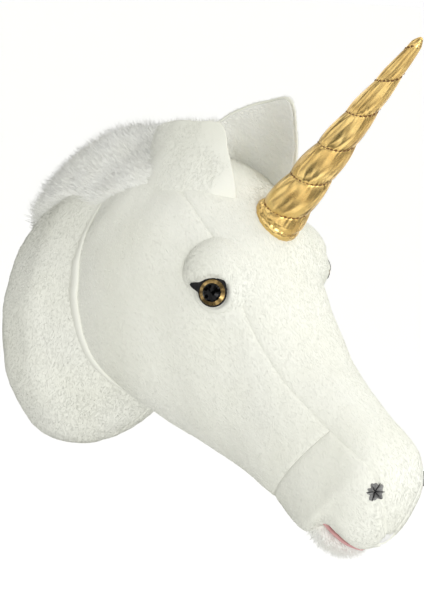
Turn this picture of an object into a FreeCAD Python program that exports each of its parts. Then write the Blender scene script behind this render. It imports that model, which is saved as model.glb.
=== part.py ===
import FreeCAD, Part
import math
import os
import Sketcher

# A wall-hung plush unicorn head. The wall is the plane Y = 0, the head looks
# along -Y and down, Z is up, X = 0 is the plane of symmetry and the animal's
# own right side is -X. All lengths are in millimetres.

doc = FreeCAD.newDocument("plush_unicorn_head")
Vector = FreeCAD.Vector
Rotation = FreeCAD.Rotation
Placement = FreeCAD.Placement

SIZES = {
    "head_length": 355.0,
    "head_depth": 198.0,
    "head_width": 152.0,
    "head_pitch": 42.0,
    "head_centre": 126.0,
    "plush_thickness": 3.0,
    "gusset_width": 104.0,
    "chin_width": 30.0,
    "muzzle_seam": 251.0,
    "mouth_start": 293.0,
    "mouth_height": 106.0,
    "lip_length": 62.0,
    "lip_width": 56.0,
    "lip_depth": 34.0,
    "neck_width": 196.0,
    "neck_height": 222.0,
    "neck_reach": 130.0,
    "neck_centre": 2.0,
    "mane_width": 92.0,
    "mane_height": 27.0,
    "welt_radius": 4.5,
    "brow_radius": 31.0,
    "brow_height": 17.0,
    "eye_radius": 10.0,
    "eye_station": 119.0,
    "eye_height": 180.0,
    "eye_spread": 62.0,
    "pupil_radius": 7.2,
    "shank_radius": 2.5,
    "nostril_radius": 7.0,
    "nostril_station": 310.0,
    "nostril_height": 166.0,
    "nostril_spread": 33.0,
    "horn_length": 196.0,
    "horn_radius": 18.5,
    "horn_tip_radius": 3.0,
    "horn_station": 99.0,
    "horn_foot": 229.5,
    "horn_wall": 1.2,
    "stitch_radius": 0.5,
    "ear_length": 98.0,
    "ear_width": 80.0,
    "ear_bend_radius": 38.0,
    "ear_cloth": 2.4,
    "ear_spread": 52.0,
    "ear_station": 29.0,
    "ear_foot": 184.0,
    "ear_lean": 8.0,
    "ear_turn": 12.0,
    "back_recess": 6.0,
    "felt_thickness": 1.5,
    "board_thickness": 6.0,
    "board_gap": 0.5,
    "hanger_width": 22.0,
    "hanger_height": 34.0,
    "hanger_thickness": 1.2,
    "hanger_drop": 52.0,
    "wire_radius": 1.2,
    "ring_radius": 13.0,
    "screw_radius": 1.5,
    "screw_spacing": 18.0,
}

sheet = doc.addObject("Spreadsheet::Sheet", "Sizes")
for row, (name, value) in enumerate(SIZES.items(), start=1):
    sheet.set("A%d" % row, name)
    sheet.set("B%d" % row, repr(value))
    sheet.setAlias("B%d" % row, name)
doc.recompute()


def size(name):
    """The value of one named cell of the sheet."""
    return float(sheet.get(name))


# Sections of the head, from the poll to the lips. Each row holds the station
# along the head as a share of its length, the underside and the top as shares
# of its depth, half the width as a share of the width, and the squareness.
HEAD_SECTIONS = [
    (-0.040, -0.320, 0.295, 0.263, 2.0),
    (0.000, -0.430, 0.385, 0.410, 2.2),
    (0.068, -0.505, 0.455, 0.487, 2.4),
    (0.169, -0.530, 0.505, 0.527, 2.4),
    (0.282, -0.505, 0.495, 0.520, 2.3),
    (0.394, -0.475, 0.404, 0.452, 2.3),
    (0.493, -0.414, 0.333, 0.382, 2.3),
    (0.597, -0.343, 0.303, 0.322, 2.2),
    (0.710, -0.293, 0.305, 0.289, 2.2),
    (0.795, -0.278, 0.300, 0.296, 2.2),
    (0.855, -0.258, 0.252, 0.298, 2.2),
    (0.905, -0.222, 0.165, 0.253, 2.0),
    (0.938, -0.148, 0.045, 0.148, 2.0),
]

# Sections of the neck, from the wall outwards, each as the distance from the
# wall over the reach, the underside and the top over the height, half the
# width over the width, and how far the mane stands over the top.
NECK_SECTIONS = [
    (0.000, -0.460, 0.415, 0.446, 0.75),
    (0.108, -0.505, 0.475, 0.490, 0.90),
    (0.262, -0.492, 0.545, 0.490, 1.00),
    (0.462, -0.415, 0.625, 0.434, 0.90),
    (0.692, -0.300, 0.665, 0.357, 0.75),
    (1.000, -0.120, 0.650, 0.240, 0.60),
]

RING_POINTS = 20
ROOM = 500.0


def ring(half_width, low, high, station, squareness):
    """A closed smooth curve in the plane z = station."""
    middle = (low + high) / 2.0
    half_height = (high - low) / 2.0
    points = []
    for index in range(RING_POINTS):
        turn = 2.0 * math.pi * index / RING_POINTS
        across = math.cos(turn)
        upward = math.sin(turn)
        x = half_width * math.copysign(abs(across) ** (2.0 / squareness), across)
        y = middle + half_height * math.copysign(abs(upward) ** (2.0 / squareness), upward)
        points.append(Vector(x, y, station))
    curve = Part.BSplineCurve()
    curve.interpolate(points, PeriodicFlag=True)
    return Part.Wire([curve.toShape()])


def symmetric(shape):
    """The half at -X and its mirror image, joined into one solid."""
    half = shape.common(Part.makeBox(ROOM, 2 * ROOM, 2 * ROOM, Vector(-ROOM, -ROOM, -ROOM)))
    twin = half.mirror(Vector(0, 0, 0), Vector(1, 0, 0))
    return half.fuse(twin).removeSplitter()


def head_solid(inset):
    """The head between its poll and its lips, drawn in by the inset."""
    rings = []
    last = len(HEAD_SECTIONS) - 1
    for index, (station, low, high, half, squareness) in enumerate(HEAD_SECTIONS):
        shift = inset if index == 0 else -inset if index == last else 0.0
        rings.append(ring(
            half * size("head_width") - inset,
            size("head_centre") + low * size("head_depth") + inset,
            size("head_centre") + high * size("head_depth") - inset,
            station * size("head_length") + shift,
            squareness,
        ))
    return symmetric(Part.makeLoft(rings, True, False))


def neck_solid(inset, mane, start):
    """The neck from the wall into the head; mane lifts its top edge."""
    rings = []
    for station, low, high, half, hair in NECK_SECTIONS:
        rings.append(ring(
            half * size("neck_width") - inset + mane * hair * 0.4,
            size("neck_centre") + low * size("neck_height") + inset,
            size("neck_centre") + high * size("neck_height") - inset + mane * hair,
            max(station * size("neck_reach"), start) if station == 0.0
            else station * size("neck_reach"),
            2.0,
        ))
    return symmetric(Part.makeLoft(rings, True, False))


def head_frame():
    """Local x across, y up from the face and z along the head to the lips."""
    return Placement(Vector(0, 0, 0), Rotation(Vector(1, 0, 0), 90.0 + size("head_pitch")))


def neck_frame():
    """Local x across, y up the wall and z straight out from it."""
    return Placement(Vector(0, 0, 0), Rotation(Vector(1, 0, 0), 90.0))


def soft(label, shape, frame):
    """A soft form with changing sections, set by Part functions."""
    item = doc.addObject("Part::Feature", label)
    item.Shape = shape
    item.Placement = frame
    item.Label = label
    return item


def combine(kind, label, first, second):
    """A cut, a common or a fuse of document objects."""
    item = doc.addObject("Part::" + kind, label)
    item.Label = label
    if kind == "MultiFuse":
        item.Shapes = [first] + second
    else:
        item.Base = first
        item.Tool = second
    return item


def box(label, frame, corner, lengths):
    """A box whose three sides are bound to expressions."""
    item = doc.addObject("Part::Box", label)
    for side, rule in zip(("Length", "Width", "Height"), lengths):
        item.setExpression(side, rule)
    item.Placement = frame.multiply(Placement(corner, Rotation()))
    item.Label = label
    return item


def origin_plane(body, role):
    """The body's own XY, XZ or YZ plane."""
    for feature in body.Origin.OriginFeatures:
        if feature.Role == role:
            return feature
    raise ValueError(role)


def new_body(label, frame):
    """An empty body with a name and a place."""
    body = doc.addObject("PartDesign::Body", label)
    body.Label = label
    body.Placement = frame
    return body


def outline_sketch(body, role, corners):
    """A closed outline whose corners are bound to expressions.

    Each corner is a pair of (value, rule) pairs, one across and one up.
    """
    sketch = body.newObject("Sketcher::SketchObject", body.Label + "_outline")
    sketch.AttachmentSupport = (origin_plane(body, role), [""])
    sketch.MapMode = "FlatFace"
    count = len(corners)
    for index in range(count):
        here = corners[index]
        after = corners[(index + 1) % count]
        sketch.addGeometry(Part.LineSegment(
            Vector(here[0][0], here[1][0], 0),
            Vector(after[0][0], after[1][0], 0),
        ), False)
    for index in range(count):
        sketch.addConstraint(
            Sketcher.Constraint("Coincident", index, 2, (index + 1) % count, 1))
    for index, (across, upward) in enumerate(corners):
        for kind, (value, rule) in (("DistanceX", across), ("DistanceY", upward)):
            number = sketch.addConstraint(
                Sketcher.Constraint(kind, -1, 1, index, 1, value))
            if rule:
                sketch.setExpression("Constraints[%d]" % number, rule)
    return sketch


def circle_sketch(body, role, circles):
    """Circles given as (across, upward, radius, rule of the radius)."""
    sketch = body.newObject("Sketcher::SketchObject", body.Label + "_circles")
    sketch.AttachmentSupport = (origin_plane(body, role), [""])
    sketch.MapMode = "FlatFace"
    for index, (across, upward, radius, rule) in enumerate(circles):
        sketch.addGeometry(Part.Circle(Vector(across, upward, 0), Vector(0, 0, 1), radius), False)
        sketch.addConstraint(Sketcher.Constraint("DistanceX", -1, 1, index, 3, across))
        sketch.addConstraint(Sketcher.Constraint("DistanceY", -1, 1, index, 3, upward))
        number = sketch.addConstraint(Sketcher.Constraint("Radius", index, radius))
        sketch.setExpression("Constraints[%d]" % number, rule)
    return sketch


def pad(body, sketch, rule, reverse):
    """A pad of the sketch, its length bound to the rule."""
    feature = body.newObject("PartDesign::Pad", body.Label + "_pad")
    feature.Profile = sketch
    feature.setExpression("Length", rule)
    feature.Reversed = reverse
    sketch.Visibility = False
    return feature


def turned(label, frame, corners):
    """A body turned about its own Z axis from a half outline in XZ."""
    body = new_body(label, frame)
    sketch = outline_sketch(body, "XZ_Plane", corners)
    feature = body.newObject("PartDesign::Revolution", label + "_turned")
    feature.Profile = sketch
    feature.ReferenceAxis = (sketch, ["V_Axis"])
    feature.Angle = 360.0
    return body


def rule_value(rule):
    """A rule's value now, worked out from the sheet."""
    value = sheet.evalExpression(rule)
    return float(getattr(value, "Value", value))


def pair(rule):
    """The starting value and the rule of one sketch size."""
    return (rule_value(rule), rule)


def facing(position, direction, lengthwise):
    """A place whose Z looks along direction and whose X is near lengthwise."""
    direction = Vector(direction).normalize()
    across = Vector(lengthwise) - direction * direction.dot(lengthwise)
    across.normalize()
    third = direction.cross(across)
    return Placement(position, Rotation(across, third, direction, "ZXY"))


SIDES = {"right": -1.0, "left": 1.0}
nodes = []


def keep(item, label):
    """Puts one finished sub-part on the list of nodes."""
    item.Label = label
    nodes.append(item)
    return item




def mirrored(source, label):
    """The left-hand twin of a right-hand piece."""
    twin = doc.addObject("Part::Mirroring", label)
    twin.Source = source
    twin.Normal = Vector(1, 0, 0)
    twin.Base = Vector(0, 0, 0)
    return keep(twin, label)


def keep_both(item, name):
    """Keeps a right-hand piece and its left-hand twin."""
    keep(item, name + "_right")
    mirrored(item, name + "_left")


# ---- head covers -----------------------------------------------------------
HEAD = head_frame()
NECK = neck_frame()

head_outer = soft("head_outer", head_solid(0.0), HEAD)
head_inner = soft("head_inner", head_solid(size("plush_thickness")), HEAD)
mouth_zone = box(
    "mouth_zone", HEAD,
    Vector(-ROOM / 2, size("mouth_height") - ROOM, size("mouth_start")),
    ("500", "500", "500"))
head_shell = combine("Cut", "head_shell", head_outer, head_inner)
shell_open = combine("Cut", "shell_open", head_shell, mouth_zone)


def gusset_cutter(label, shares, reverse, start):
    """A tall strip along the head, given as (station, half width) shares."""
    body = new_body(label, HEAD.multiply(Placement(Vector(0, start, 0), Rotation())))
    width = "gusset_width" if not reverse else "chin_width"
    corners = []
    for sign, stations in ((1.0, shares), (-1.0, list(reversed(shares)))):
        for station, half in stations:
            corners.append((
                pair("Sizes.%s * %.4f" % (width, sign * half)),
                pair("Sizes.head_length * %.4f" % station),
            ))
    sketch = outline_sketch(body, "XZ_Plane", corners)
    pad(body, sketch, "Sizes.head_depth", not reverse)
    return body


BRIDGE = [(-0.10, 0.27), (0.08, 0.42), (0.28, 0.50), (0.417, 0.48), (0.53, 0.423),
          (0.63, 0.365), (0.73, 0.327), (0.85, 0.30), (1.05, 0.25)]
CHIN = [(0.10, 0.30), (0.30, 0.50), (0.60, 0.45), (0.826, 0.40)]
bridge_cutter = gusset_cutter("bridge_cutter", BRIDGE, False, size("head_centre"))
chin_cutter = gusset_cutter("chin_cutter", CHIN, True, size("head_centre") - 4.0)

bridge_strip = combine("Common", "bridge_strip", shell_open, bridge_cutter)
chin_strip = combine("Common", "chin_gusset", shell_open, chin_cutter)
right_room = box("right_room", HEAD, Vector(-ROOM, -ROOM / 2, -ROOM / 2), ("500", "1000", "1000"))
right_shell = combine("Common", "right_shell", shell_open, right_room)
side_shell = combine("Cut", "side_shell", right_shell, bridge_cutter)
side_cover = combine("Cut", "side_cover", side_shell, chin_cutter)

# ---- eyes and brows --------------------------------------------------------


def eye_place(sign):
    """Where one eye sits on the head, looking sideways and a little forward."""
    point = HEAD.multVec(Vector(
        sign * size("eye_spread"), size("eye_height"), size("eye_station")))
    look = HEAD.Rotation.multVec(Vector(sign * 0.86, 0.44, 0.16))
    along = HEAD.Rotation.multVec(Vector(0, 0, 1))
    return facing(point, look, along)


def cylinder(label, frame, depth, radius_rule, height_rule):
    """A cylinder along the frame's Z that starts at the given depth."""
    item = doc.addObject("Part::Cylinder", label)
    item.setExpression("Radius", radius_rule)
    item.setExpression("Height", height_rule)
    item.Placement = frame.multiply(Placement(Vector(0, 0, depth), Rotation()))
    item.Label = label
    return item


EYE_BASE = 8.0
SHANK_DEPTH = 26.0
shank_holes = []
washer_rooms = []


BROW_BACK = 2.0
BROW_RISE = 4.0
BROW_SINK = 5.0


def eye_set(side, sign):
    """The eye, its pupil, its felt, its lock washer and the brow pad."""
    place = eye_place(sign).multiply(Placement(Vector(0, 0, EYE_BASE), Rotation()))
    iris = turned("eye_iris_" + side, place, [
        (pair("0"), pair("-%s" % SHANK_DEPTH)),
        (pair("Sizes.shank_radius"), pair("-%s" % SHANK_DEPTH)),
        (pair("Sizes.shank_radius"), pair("0")),
        (pair("Sizes.eye_radius"), pair("0")),
        (pair("Sizes.eye_radius"), pair("Sizes.eye_radius * 0.12")),
        (pair("Sizes.pupil_radius"), pair("Sizes.eye_radius * 0.30")),
        (pair("0"), pair("Sizes.eye_radius * 0.30")),
    ])
    keep(iris, "eye_iris_" + side)
    pupil = turned("eye_pupil_" + side, place, [
        (pair("0"), pair("Sizes.eye_radius * 0.30")),
        (pair("Sizes.pupil_radius"), pair("Sizes.eye_radius * 0.30")),
        (pair("Sizes.pupil_radius * 0.82"), pair("Sizes.eye_radius * 0.45")),
        (pair("Sizes.pupil_radius * 0.45"), pair("Sizes.eye_radius * 0.56")),
        (pair("0"), pair("Sizes.eye_radius * 0.60")),
    ])
    keep(pupil, "eye_pupil_" + side)

    felt_disc = cylinder("felt_disc_" + side, place, -1.0, "Sizes.eye_radius * 1.3", "0.95")
    hole = cylinder("shank_hole_" + side, place, -SHANK_DEPTH - 0.5,
                    "Sizes.shank_radius + 0.1", "40")
    keep(combine("Cut", "eye_liner_" + side, felt_disc, hole), "eye_liner_" + side)

    disc = cylinder("washer_disc_" + side, place, -SHANK_DEPTH + 3.0,
                    "Sizes.eye_radius * 0.9", "1.5")
    keep(combine("Cut", "eye_washer_" + side, disc, hole), "eye_washer_" + side)
    room = cylinder("washer_room_" + side, place, -SHANK_DEPTH - 0.5,
                    "Sizes.eye_radius", "6")
    shank_holes.append(hole)
    washer_rooms.append(room)

    dome = doc.addObject("Part::Ellipsoid", "brow_dome_" + side)
    dome.setExpression("Radius1", "Sizes.brow_height")
    dome.setExpression("Radius2", "Sizes.brow_radius")
    dome.setExpression("Radius3", "Sizes.brow_radius")
    dome.Placement = place.multiply(Placement(
        Vector(-BROW_BACK, sign * BROW_RISE, -EYE_BASE - BROW_SINK), Rotation()))
    socket = cylinder("eye_socket_" + side, place, -1.2, "Sizes.eye_radius * 1.36", "40")
    clear = combine("MultiFuse", "brow_clear_" + side, head_outer, [socket, hole])
    keep(combine("Cut", "brow_pad_" + side, dome, clear), "brow_pad_" + side)


for side, sign in SIDES.items():
    eye_set(side, sign)

holes = combine("MultiFuse", "shank_holes", shank_holes[0], [shank_holes[1]])
side_bored = combine("Cut", "side_bored", side_cover, holes)
keep(combine("Cut", "bridge_gusset", bridge_strip, holes), "bridge_gusset")
keep(chin_strip, "chin_gusset")

rear = box("rear_room", HEAD, Vector(-ROOM, -ROOM / 2, -ROOM + size("muzzle_seam")),
           ("1000", "1000", "500"))
front = box("front_room", HEAD, Vector(-ROOM, -ROOM / 2, size("muzzle_seam")),
            ("1000", "1000", "500"))
keep_both(combine("Common", "head_panel_right", side_bored, rear), "head_panel")
keep_both(combine("Common", "muzzle_panel_right", side_bored, front), "muzzle_panel")

# ---- mouth -----------------------------------------------------------------
LINING_GAP = 0.3
LINING_THICKNESS = 1.6
lining_slab = box(
    "lining_slab", HEAD,
    Vector(-ROOM / 2, size("mouth_height") - LINING_GAP - LINING_THICKNESS,
           size("mouth_start") + LINING_GAP),
    ("500", "%s" % LINING_THICKNESS, "500"))
keep(combine("Common", "mouth_lining", head_outer, lining_slab), "mouth_lining")
lip_dome = doc.addObject("Part::Ellipsoid", "lip_dome")
lip_dome.setExpression("Radius1", "Sizes.lip_length / 2")
lip_dome.setExpression("Radius2", "Sizes.lip_width / 2")
lip_dome.setExpression("Radius3", "Sizes.lip_depth / 2")
lip_dome.Placement = HEAD.multiply(facing(
    Vector(0, size("mouth_height") - size("lip_depth") / 2, size("mouth_start")),
    Vector(0, 0, 1), Vector(1, 0, 0)))
lip_zone = box(
    "lip_zone", HEAD,
    Vector(-ROOM / 2, size("mouth_height") - LINING_GAP * 2 - LINING_THICKNESS - ROOM,
           size("mouth_start") + LINING_GAP),
    ("500", "500", "500"))
keep(combine("Common", "lower_lip", lip_dome, lip_zone), "lower_lip")

# ---- nostrils --------------------------------------------------------------
for side, sign in SIDES.items():
    place = facing(
        HEAD.multVec(Vector(sign * size("nostril_spread"), size("nostril_height"),
                            size("nostril_station"))),
        HEAD.Rotation.multVec(Vector(sign * 0.70, 0.66, 0.26)),
        HEAD.Rotation.multVec(Vector(0, 0, 1)))
    patch = cylinder("nostril_disc_" + side, place, -6.0, "Sizes.nostril_radius", "8")
    keep(combine("Cut", "nostril_" + side, patch, head_outer), "nostril_" + side)

# ---- neck, mane and cheek welts ---------------------------------------------
neck_outer = soft("neck_outer", neck_solid(0.0, 0.0, 0.0), NECK)
neck_inner = soft("neck_inner", neck_solid(size("plush_thickness"), 0.0, 0.0), NECK)
neck_tube = combine("Cut", "neck_tube", neck_outer, neck_inner)
neck_cover = combine("Cut", "neck_cover", neck_tube, head_outer)
right_neck = box("right_neck", NECK, Vector(-ROOM, -ROOM / 2, -1.0), ("500", "500", "500"))
keep_both(combine("Common", "neck_panel_right", neck_cover, right_neck), "neck_panel")

mane_outer = soft("mane_outer", neck_solid(0.0, size("mane_height"), 0.0), NECK)
mane_body = new_body("mane_cutter", NECK.multiply(Placement(Vector(0, 30.0, 0), Rotation())))
MANE_PLAN = [(0.0, 0.50), (0.50, 0.50), (0.72, 0.36), (0.90, 0.22)]
mane_corners = []
for sign, plan in ((1.0, MANE_PLAN), (-1.0, list(reversed(MANE_PLAN)))):
    for station, half in plan:
        mane_corners.append((
            pair("Sizes.mane_width * %.4f" % (sign * half)),
            pair("Sizes.neck_reach * %.4f" % station),
        ))
mane_sketch = outline_sketch(mane_body, "XZ_Plane", mane_corners)
pad(mane_body, mane_sketch, "Sizes.neck_height", True)
mane_top = combine("Common", "mane_top", mane_outer, mane_body)
mane_inside = combine("MultiFuse", "mane_inside", neck_outer, [head_outer])
keep(combine("Cut", "mane", mane_top, mane_inside), "mane")

WELT = [(0.02, -0.18, 0.40), (0.11, -0.31, 0.47), (0.20, -0.38, 0.46), (0.30, -0.41, 0.40),
        (0.38, -0.40, 0.33)]
points = [Vector(-half * size("head_width"),
                 size("head_centre") + rise * size("head_depth"),
                 station * size("head_length"))
          for station, rise, half in WELT]
spine = Part.BSplineCurve()
spine.interpolate(points)
section = Part.Wire([Part.Circle(
    points[0], spine.tangent(spine.FirstParameter)[0], size("welt_radius")).toShape()])
tube = Part.Wire([spine.toShape()]).makePipeShell([section], True, False)
welt = soft("welt_tube", tube, HEAD)
keep_both(combine("Cut", "cheek_welt_right", welt, mane_inside), "cheek_welt")

# ---- stuffing --------------------------------------------------------------
rooms = combine("MultiFuse", "washer_rooms", washer_rooms[0], [washer_rooms[1], mouth_zone] + shank_holes)
keep(combine("Cut", "head_stuffing", head_inner, rooms), "head_stuffing")
board_space = box("board_space", NECK, Vector(-ROOM / 2, -ROOM / 2, -ROOM),
                  ("500", "500", "500 + Sizes.back_recess + Sizes.felt_thickness"
                   " + Sizes.board_thickness + 0.3"))
neck_fill = combine("MultiFuse", "neck_fill", head_outer, [board_space])
keep(combine("Cut", "neck_stuffing", neck_inner, neck_fill), "neck_stuffing")

# ---- back board, felt and hanger ---------------------------------------------
HANGER_UP = size("hanger_drop")
screw_rows = [HANGER_UP - size("screw_spacing") / 2, HANGER_UP + size("screw_spacing") / 2]


def back_slab(label, start, thickness_rule, hole_rule):
    """An oval slab inside the collar, bored for the two hanger screws."""
    base = Placement(Vector(0, 0, start), Rotation())
    grow = NECK_SECTIONS[0]
    half_x = grow[3] * size("neck_width") - size("plush_thickness") - size("board_gap")
    low = size("neck_centre") + grow[1] * size("neck_height") + size("plush_thickness")
    high = size("neck_centre") + grow[2] * size("neck_height") - size("plush_thickness")
    half_y = (high - low) / 2 - size("board_gap")
    middle = (high + low) / 2
    oval = doc.addObject("Part::Ellipse", label + "_oval")
    oval.MajorRadius = max(half_x, half_y)
    oval.MinorRadius = min(half_x, half_y)
    turn = 90.0 if half_y > half_x else 0.0
    oval.Placement = NECK.multiply(base).multiply(
        Placement(Vector(0, middle, 0), Rotation(Vector(0, 0, 1), turn)))
    slab = doc.addObject("Part::Extrusion", label + "_slab")
    slab.Base = oval
    slab.DirMode = "Custom"
    slab.Dir = Vector(0, -1, 0)
    slab.setExpression("LengthFwd", thickness_rule)
    slab.Solid = True
    drills = []
    for index, height in enumerate(screw_rows):
        drills.append(cylinder(label + "_hole_%d" % index,
                               NECK.multiply(Placement(Vector(0, height, 0), Rotation())),
                               start - 1.0, hole_rule, "Sizes.board_thickness + 3"))
    drilled = combine("MultiFuse", label + "_holes", drills[0], [drills[1]])
    return keep(combine("Cut", label, slab, drilled), label)


FELT_AT = size("back_recess")
BOARD_AT = FELT_AT + size("felt_thickness")
back_slab("back_felt", FELT_AT, "Sizes.felt_thickness", "Sizes.screw_radius + 0.2")
back_slab("back_board", BOARD_AT, "Sizes.board_thickness", "Sizes.screw_radius + 0.02")

PLATE_AT = FELT_AT - size("hanger_thickness")
WIRE_AT = FELT_AT - size("wire_radius") - 1.7
plate_frame = NECK.multiply(Placement(Vector(0, HANGER_UP, PLATE_AT), Rotation()))
plate_body = new_body("hanger_strip", plate_frame)
strip = outline_sketch(plate_body, "XY_Plane", [
    (pair("-Sizes.hanger_width / 2"), pair("-Sizes.hanger_height / 2")),
    (pair("Sizes.hanger_width / 2"), pair("-Sizes.hanger_height / 2")),
    (pair("Sizes.hanger_width / 2"), pair("Sizes.hanger_height / 2")),
    (pair("-Sizes.hanger_width / 2"), pair("Sizes.hanger_height / 2")),
])
pad(plate_body, strip, "Sizes.hanger_thickness", False)
bores = circle_sketch(plate_body, "XY_Plane", [
    (0.0, -size("screw_spacing") / 2, size("screw_radius") + 0.2, "Sizes.screw_radius + 0.2"),
    (0.0, size("screw_spacing") / 2, size("screw_radius") + 0.2, "Sizes.screw_radius + 0.2"),
])
drill = plate_body.newObject("PartDesign::Pocket", "hanger_strip_bores")
drill.Profile = bores
drill.Type = "ThroughAll"
drill.Midplane = True

HINGE_Z = HANGER_UP - size("hanger_height") / 2 - 1.0
hinge_frame = Placement(
    Vector(0, -WIRE_AT, HINGE_Z), Rotation(Vector(0, 1, 0), 90.0))
knuckle_outer = cylinder("knuckle_outer", hinge_frame, -size("hanger_width") / 2 + 2.0,
                         "Sizes.wire_radius + 1.7", "Sizes.hanger_width - 4")
knuckle_bore = cylinder("knuckle_bore", hinge_frame, -size("hanger_width") / 2 + 1.0,
                        "Sizes.wire_radius + 0.4", "Sizes.hanger_width - 2")
strap = combine("MultiFuse", "hanger_strap", plate_body, [knuckle_outer])
keep(combine("Cut", "hanger_plate", strap, knuckle_bore), "hanger_plate")

ring_half = size("ring_radius")
left_end = Vector(-ring_half, -WIRE_AT, HINGE_Z)
right_end = Vector(ring_half, -WIRE_AT, HINGE_Z)
bottom = Vector(0, -WIRE_AT, HINGE_Z - ring_half)
bend = Part.Arc(left_end, bottom, right_end).toShape()
bar = Part.LineSegment(right_end, left_end).toShape()
bar_solid = Part.makeCylinder(size("wire_radius"), 2 * ring_half, left_end, Vector(1, 0, 0))
bend_section = Part.Wire([Part.Circle(left_end, Vector(0, 0, 1), size("wire_radius")).toShape()])
bend_solid = Part.Wire([bend]).makePipeShell([bend_section], True, False)
ring_shape = bar_solid.fuse([
    bend_solid,
    Part.makeSphere(size("wire_radius"), left_end),
    Part.makeSphere(size("wire_radius"), right_end),
]).removeSplitter()
keep(soft("hanger_ring", ring_shape, Placement()), "hanger_ring")

screws = []
for index, height in enumerate(screw_rows):
    place = NECK.multiply(Placement(Vector(0, height, PLATE_AT), Rotation()))
    screws.append(turned("screw_%d" % index, place, [
        (pair("0"), pair("-1.4")),
        (pair("Sizes.screw_radius * 1.3"), pair("-1.4")),
        (pair("Sizes.screw_radius * 2"), pair("-0.5")),
        (pair("Sizes.screw_radius * 2"), pair("0")),
        (pair("Sizes.screw_radius"), pair("0")),
        (pair("Sizes.screw_radius"), pair("Sizes.board_thickness")),
        (pair("0"), pair("Sizes.board_thickness + 1")),
    ]))
screw_group = doc.addObject("Part::Compound", "hanger_screws")
screw_group.Links = screws
keep(screw_group, "hanger_screws")

# ---- horn ------------------------------------------------------------------
HORN = HEAD.multiply(Placement(
    Vector(0, size("horn_foot"), size("horn_station")), Rotation(Vector(1, 0, 0), -90.0)))
keep(turned("horn_cover", HORN, [
    (pair("0"), pair("12")),
    (pair("Sizes.horn_radius"), pair("12")),
    (pair("Sizes.horn_tip_radius"), pair("Sizes.horn_length")),
    (pair("0"), pair("Sizes.horn_length + Sizes.horn_tip_radius")),
    (pair("0"), pair("Sizes.horn_length - 2")),
    (pair("Sizes.horn_tip_radius - Sizes.horn_wall"), pair("Sizes.horn_length - 4")),
    (pair("Sizes.horn_radius - Sizes.horn_wall"), pair("12 + Sizes.horn_wall")),
    (pair("0"), pair("12 + Sizes.horn_wall")),
]), "horn_cover")
keep(turned("horn_stuffing", HORN, [
    (pair("0"), pair("12.1 + Sizes.horn_wall")),
    (pair("Sizes.horn_radius - Sizes.horn_wall - 0.2"), pair("12.1 + Sizes.horn_wall")),
    (pair("Sizes.horn_tip_radius - Sizes.horn_wall - 0.2"), pair("Sizes.horn_length - 5")),
    (pair("0"), pair("Sizes.horn_length - 5")),
]), "horn_stuffing")
ROLL_TOP = 12.0
roll = doc.addObject("Part::Torus", "horn_roll")
roll.setExpression("Radius1", "Sizes.horn_radius * 0.74")
roll.setExpression("Radius2", "Sizes.horn_radius * 0.29")
roll.Placement = HORN.multiply(
    Placement(Vector(0, 0, ROLL_TOP - size("horn_radius") * 0.29), Rotation()))
keep(roll, "horn_roll")
HORN_STITCHES = [0.20, 0.37, 0.53, 0.68, 0.82]
stitches = []
for index, share in enumerate(HORN_STITCHES):
    loop = doc.addObject("Part::Torus", "horn_stitch_%d" % index)
    loop.setExpression(
        "Radius1",
        "Sizes.horn_radius + (Sizes.horn_tip_radius - Sizes.horn_radius)"
        " * (Sizes.horn_length * %.3f - 12) / (Sizes.horn_length - 12)"
        " + Sizes.stitch_radius + 0.1" % share)
    loop.setExpression("Radius2", "Sizes.stitch_radius")
    loop.Placement = HORN.multiply(
        Placement(Vector(0, 0, size("horn_length") * share), Rotation()))
    stitches.append(loop)
stitch_group = doc.addObject("Part::Compound", "horn_stitching")
stitch_group.Links = stitches
keep(stitch_group, "horn_stitching")

# ---- ears ------------------------------------------------------------------
EAR_OUTLINE = [(-0.32, 0.03), (0.32, 0.03), (0.50, 0.20), (0.48, 0.45), (0.34, 0.72),
               (0.12, 0.95), (0.0, 1.0), (-0.12, 0.95), (-0.34, 0.72), (-0.48, 0.45), (-0.50, 0.20)]


def ear_frame(sign):
    """Local z up the ear, x along its width, y out of its convex side."""
    foot = HEAD.multVec(Vector(
        sign * size("ear_spread"), size("ear_foot"), size("ear_station")))
    lean = math.radians(size("ear_lean"))
    up = HEAD.Rotation.multVec(Vector(-sign * math.sin(lean), math.cos(lean), -0.06))
    turn = math.radians(size("ear_turn"))
    outward = Vector(sign * math.cos(turn), math.sin(turn), 0)
    width = outward.cross(up)
    return facing(foot, up, width)


def ear_leaf(label, frame, share, start, span):
    """One leaf-shaped slab of the ear, cut from a bent sheet later."""
    body = new_body(label, frame.multiply(Placement(Vector(0, start, 0), Rotation())))
    corners = []
    for across, along in EAR_OUTLINE:
        corners.append((
            pair("Sizes.ear_width * %.4f" % (across * share)),
            pair("Sizes.ear_length * %.4f" % (0.03 + (along - 0.03) * share)),
        ))
    sketch = outline_sketch(body, "XZ_Plane", corners)
    pad(body, sketch, span, True)
    return body


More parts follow.
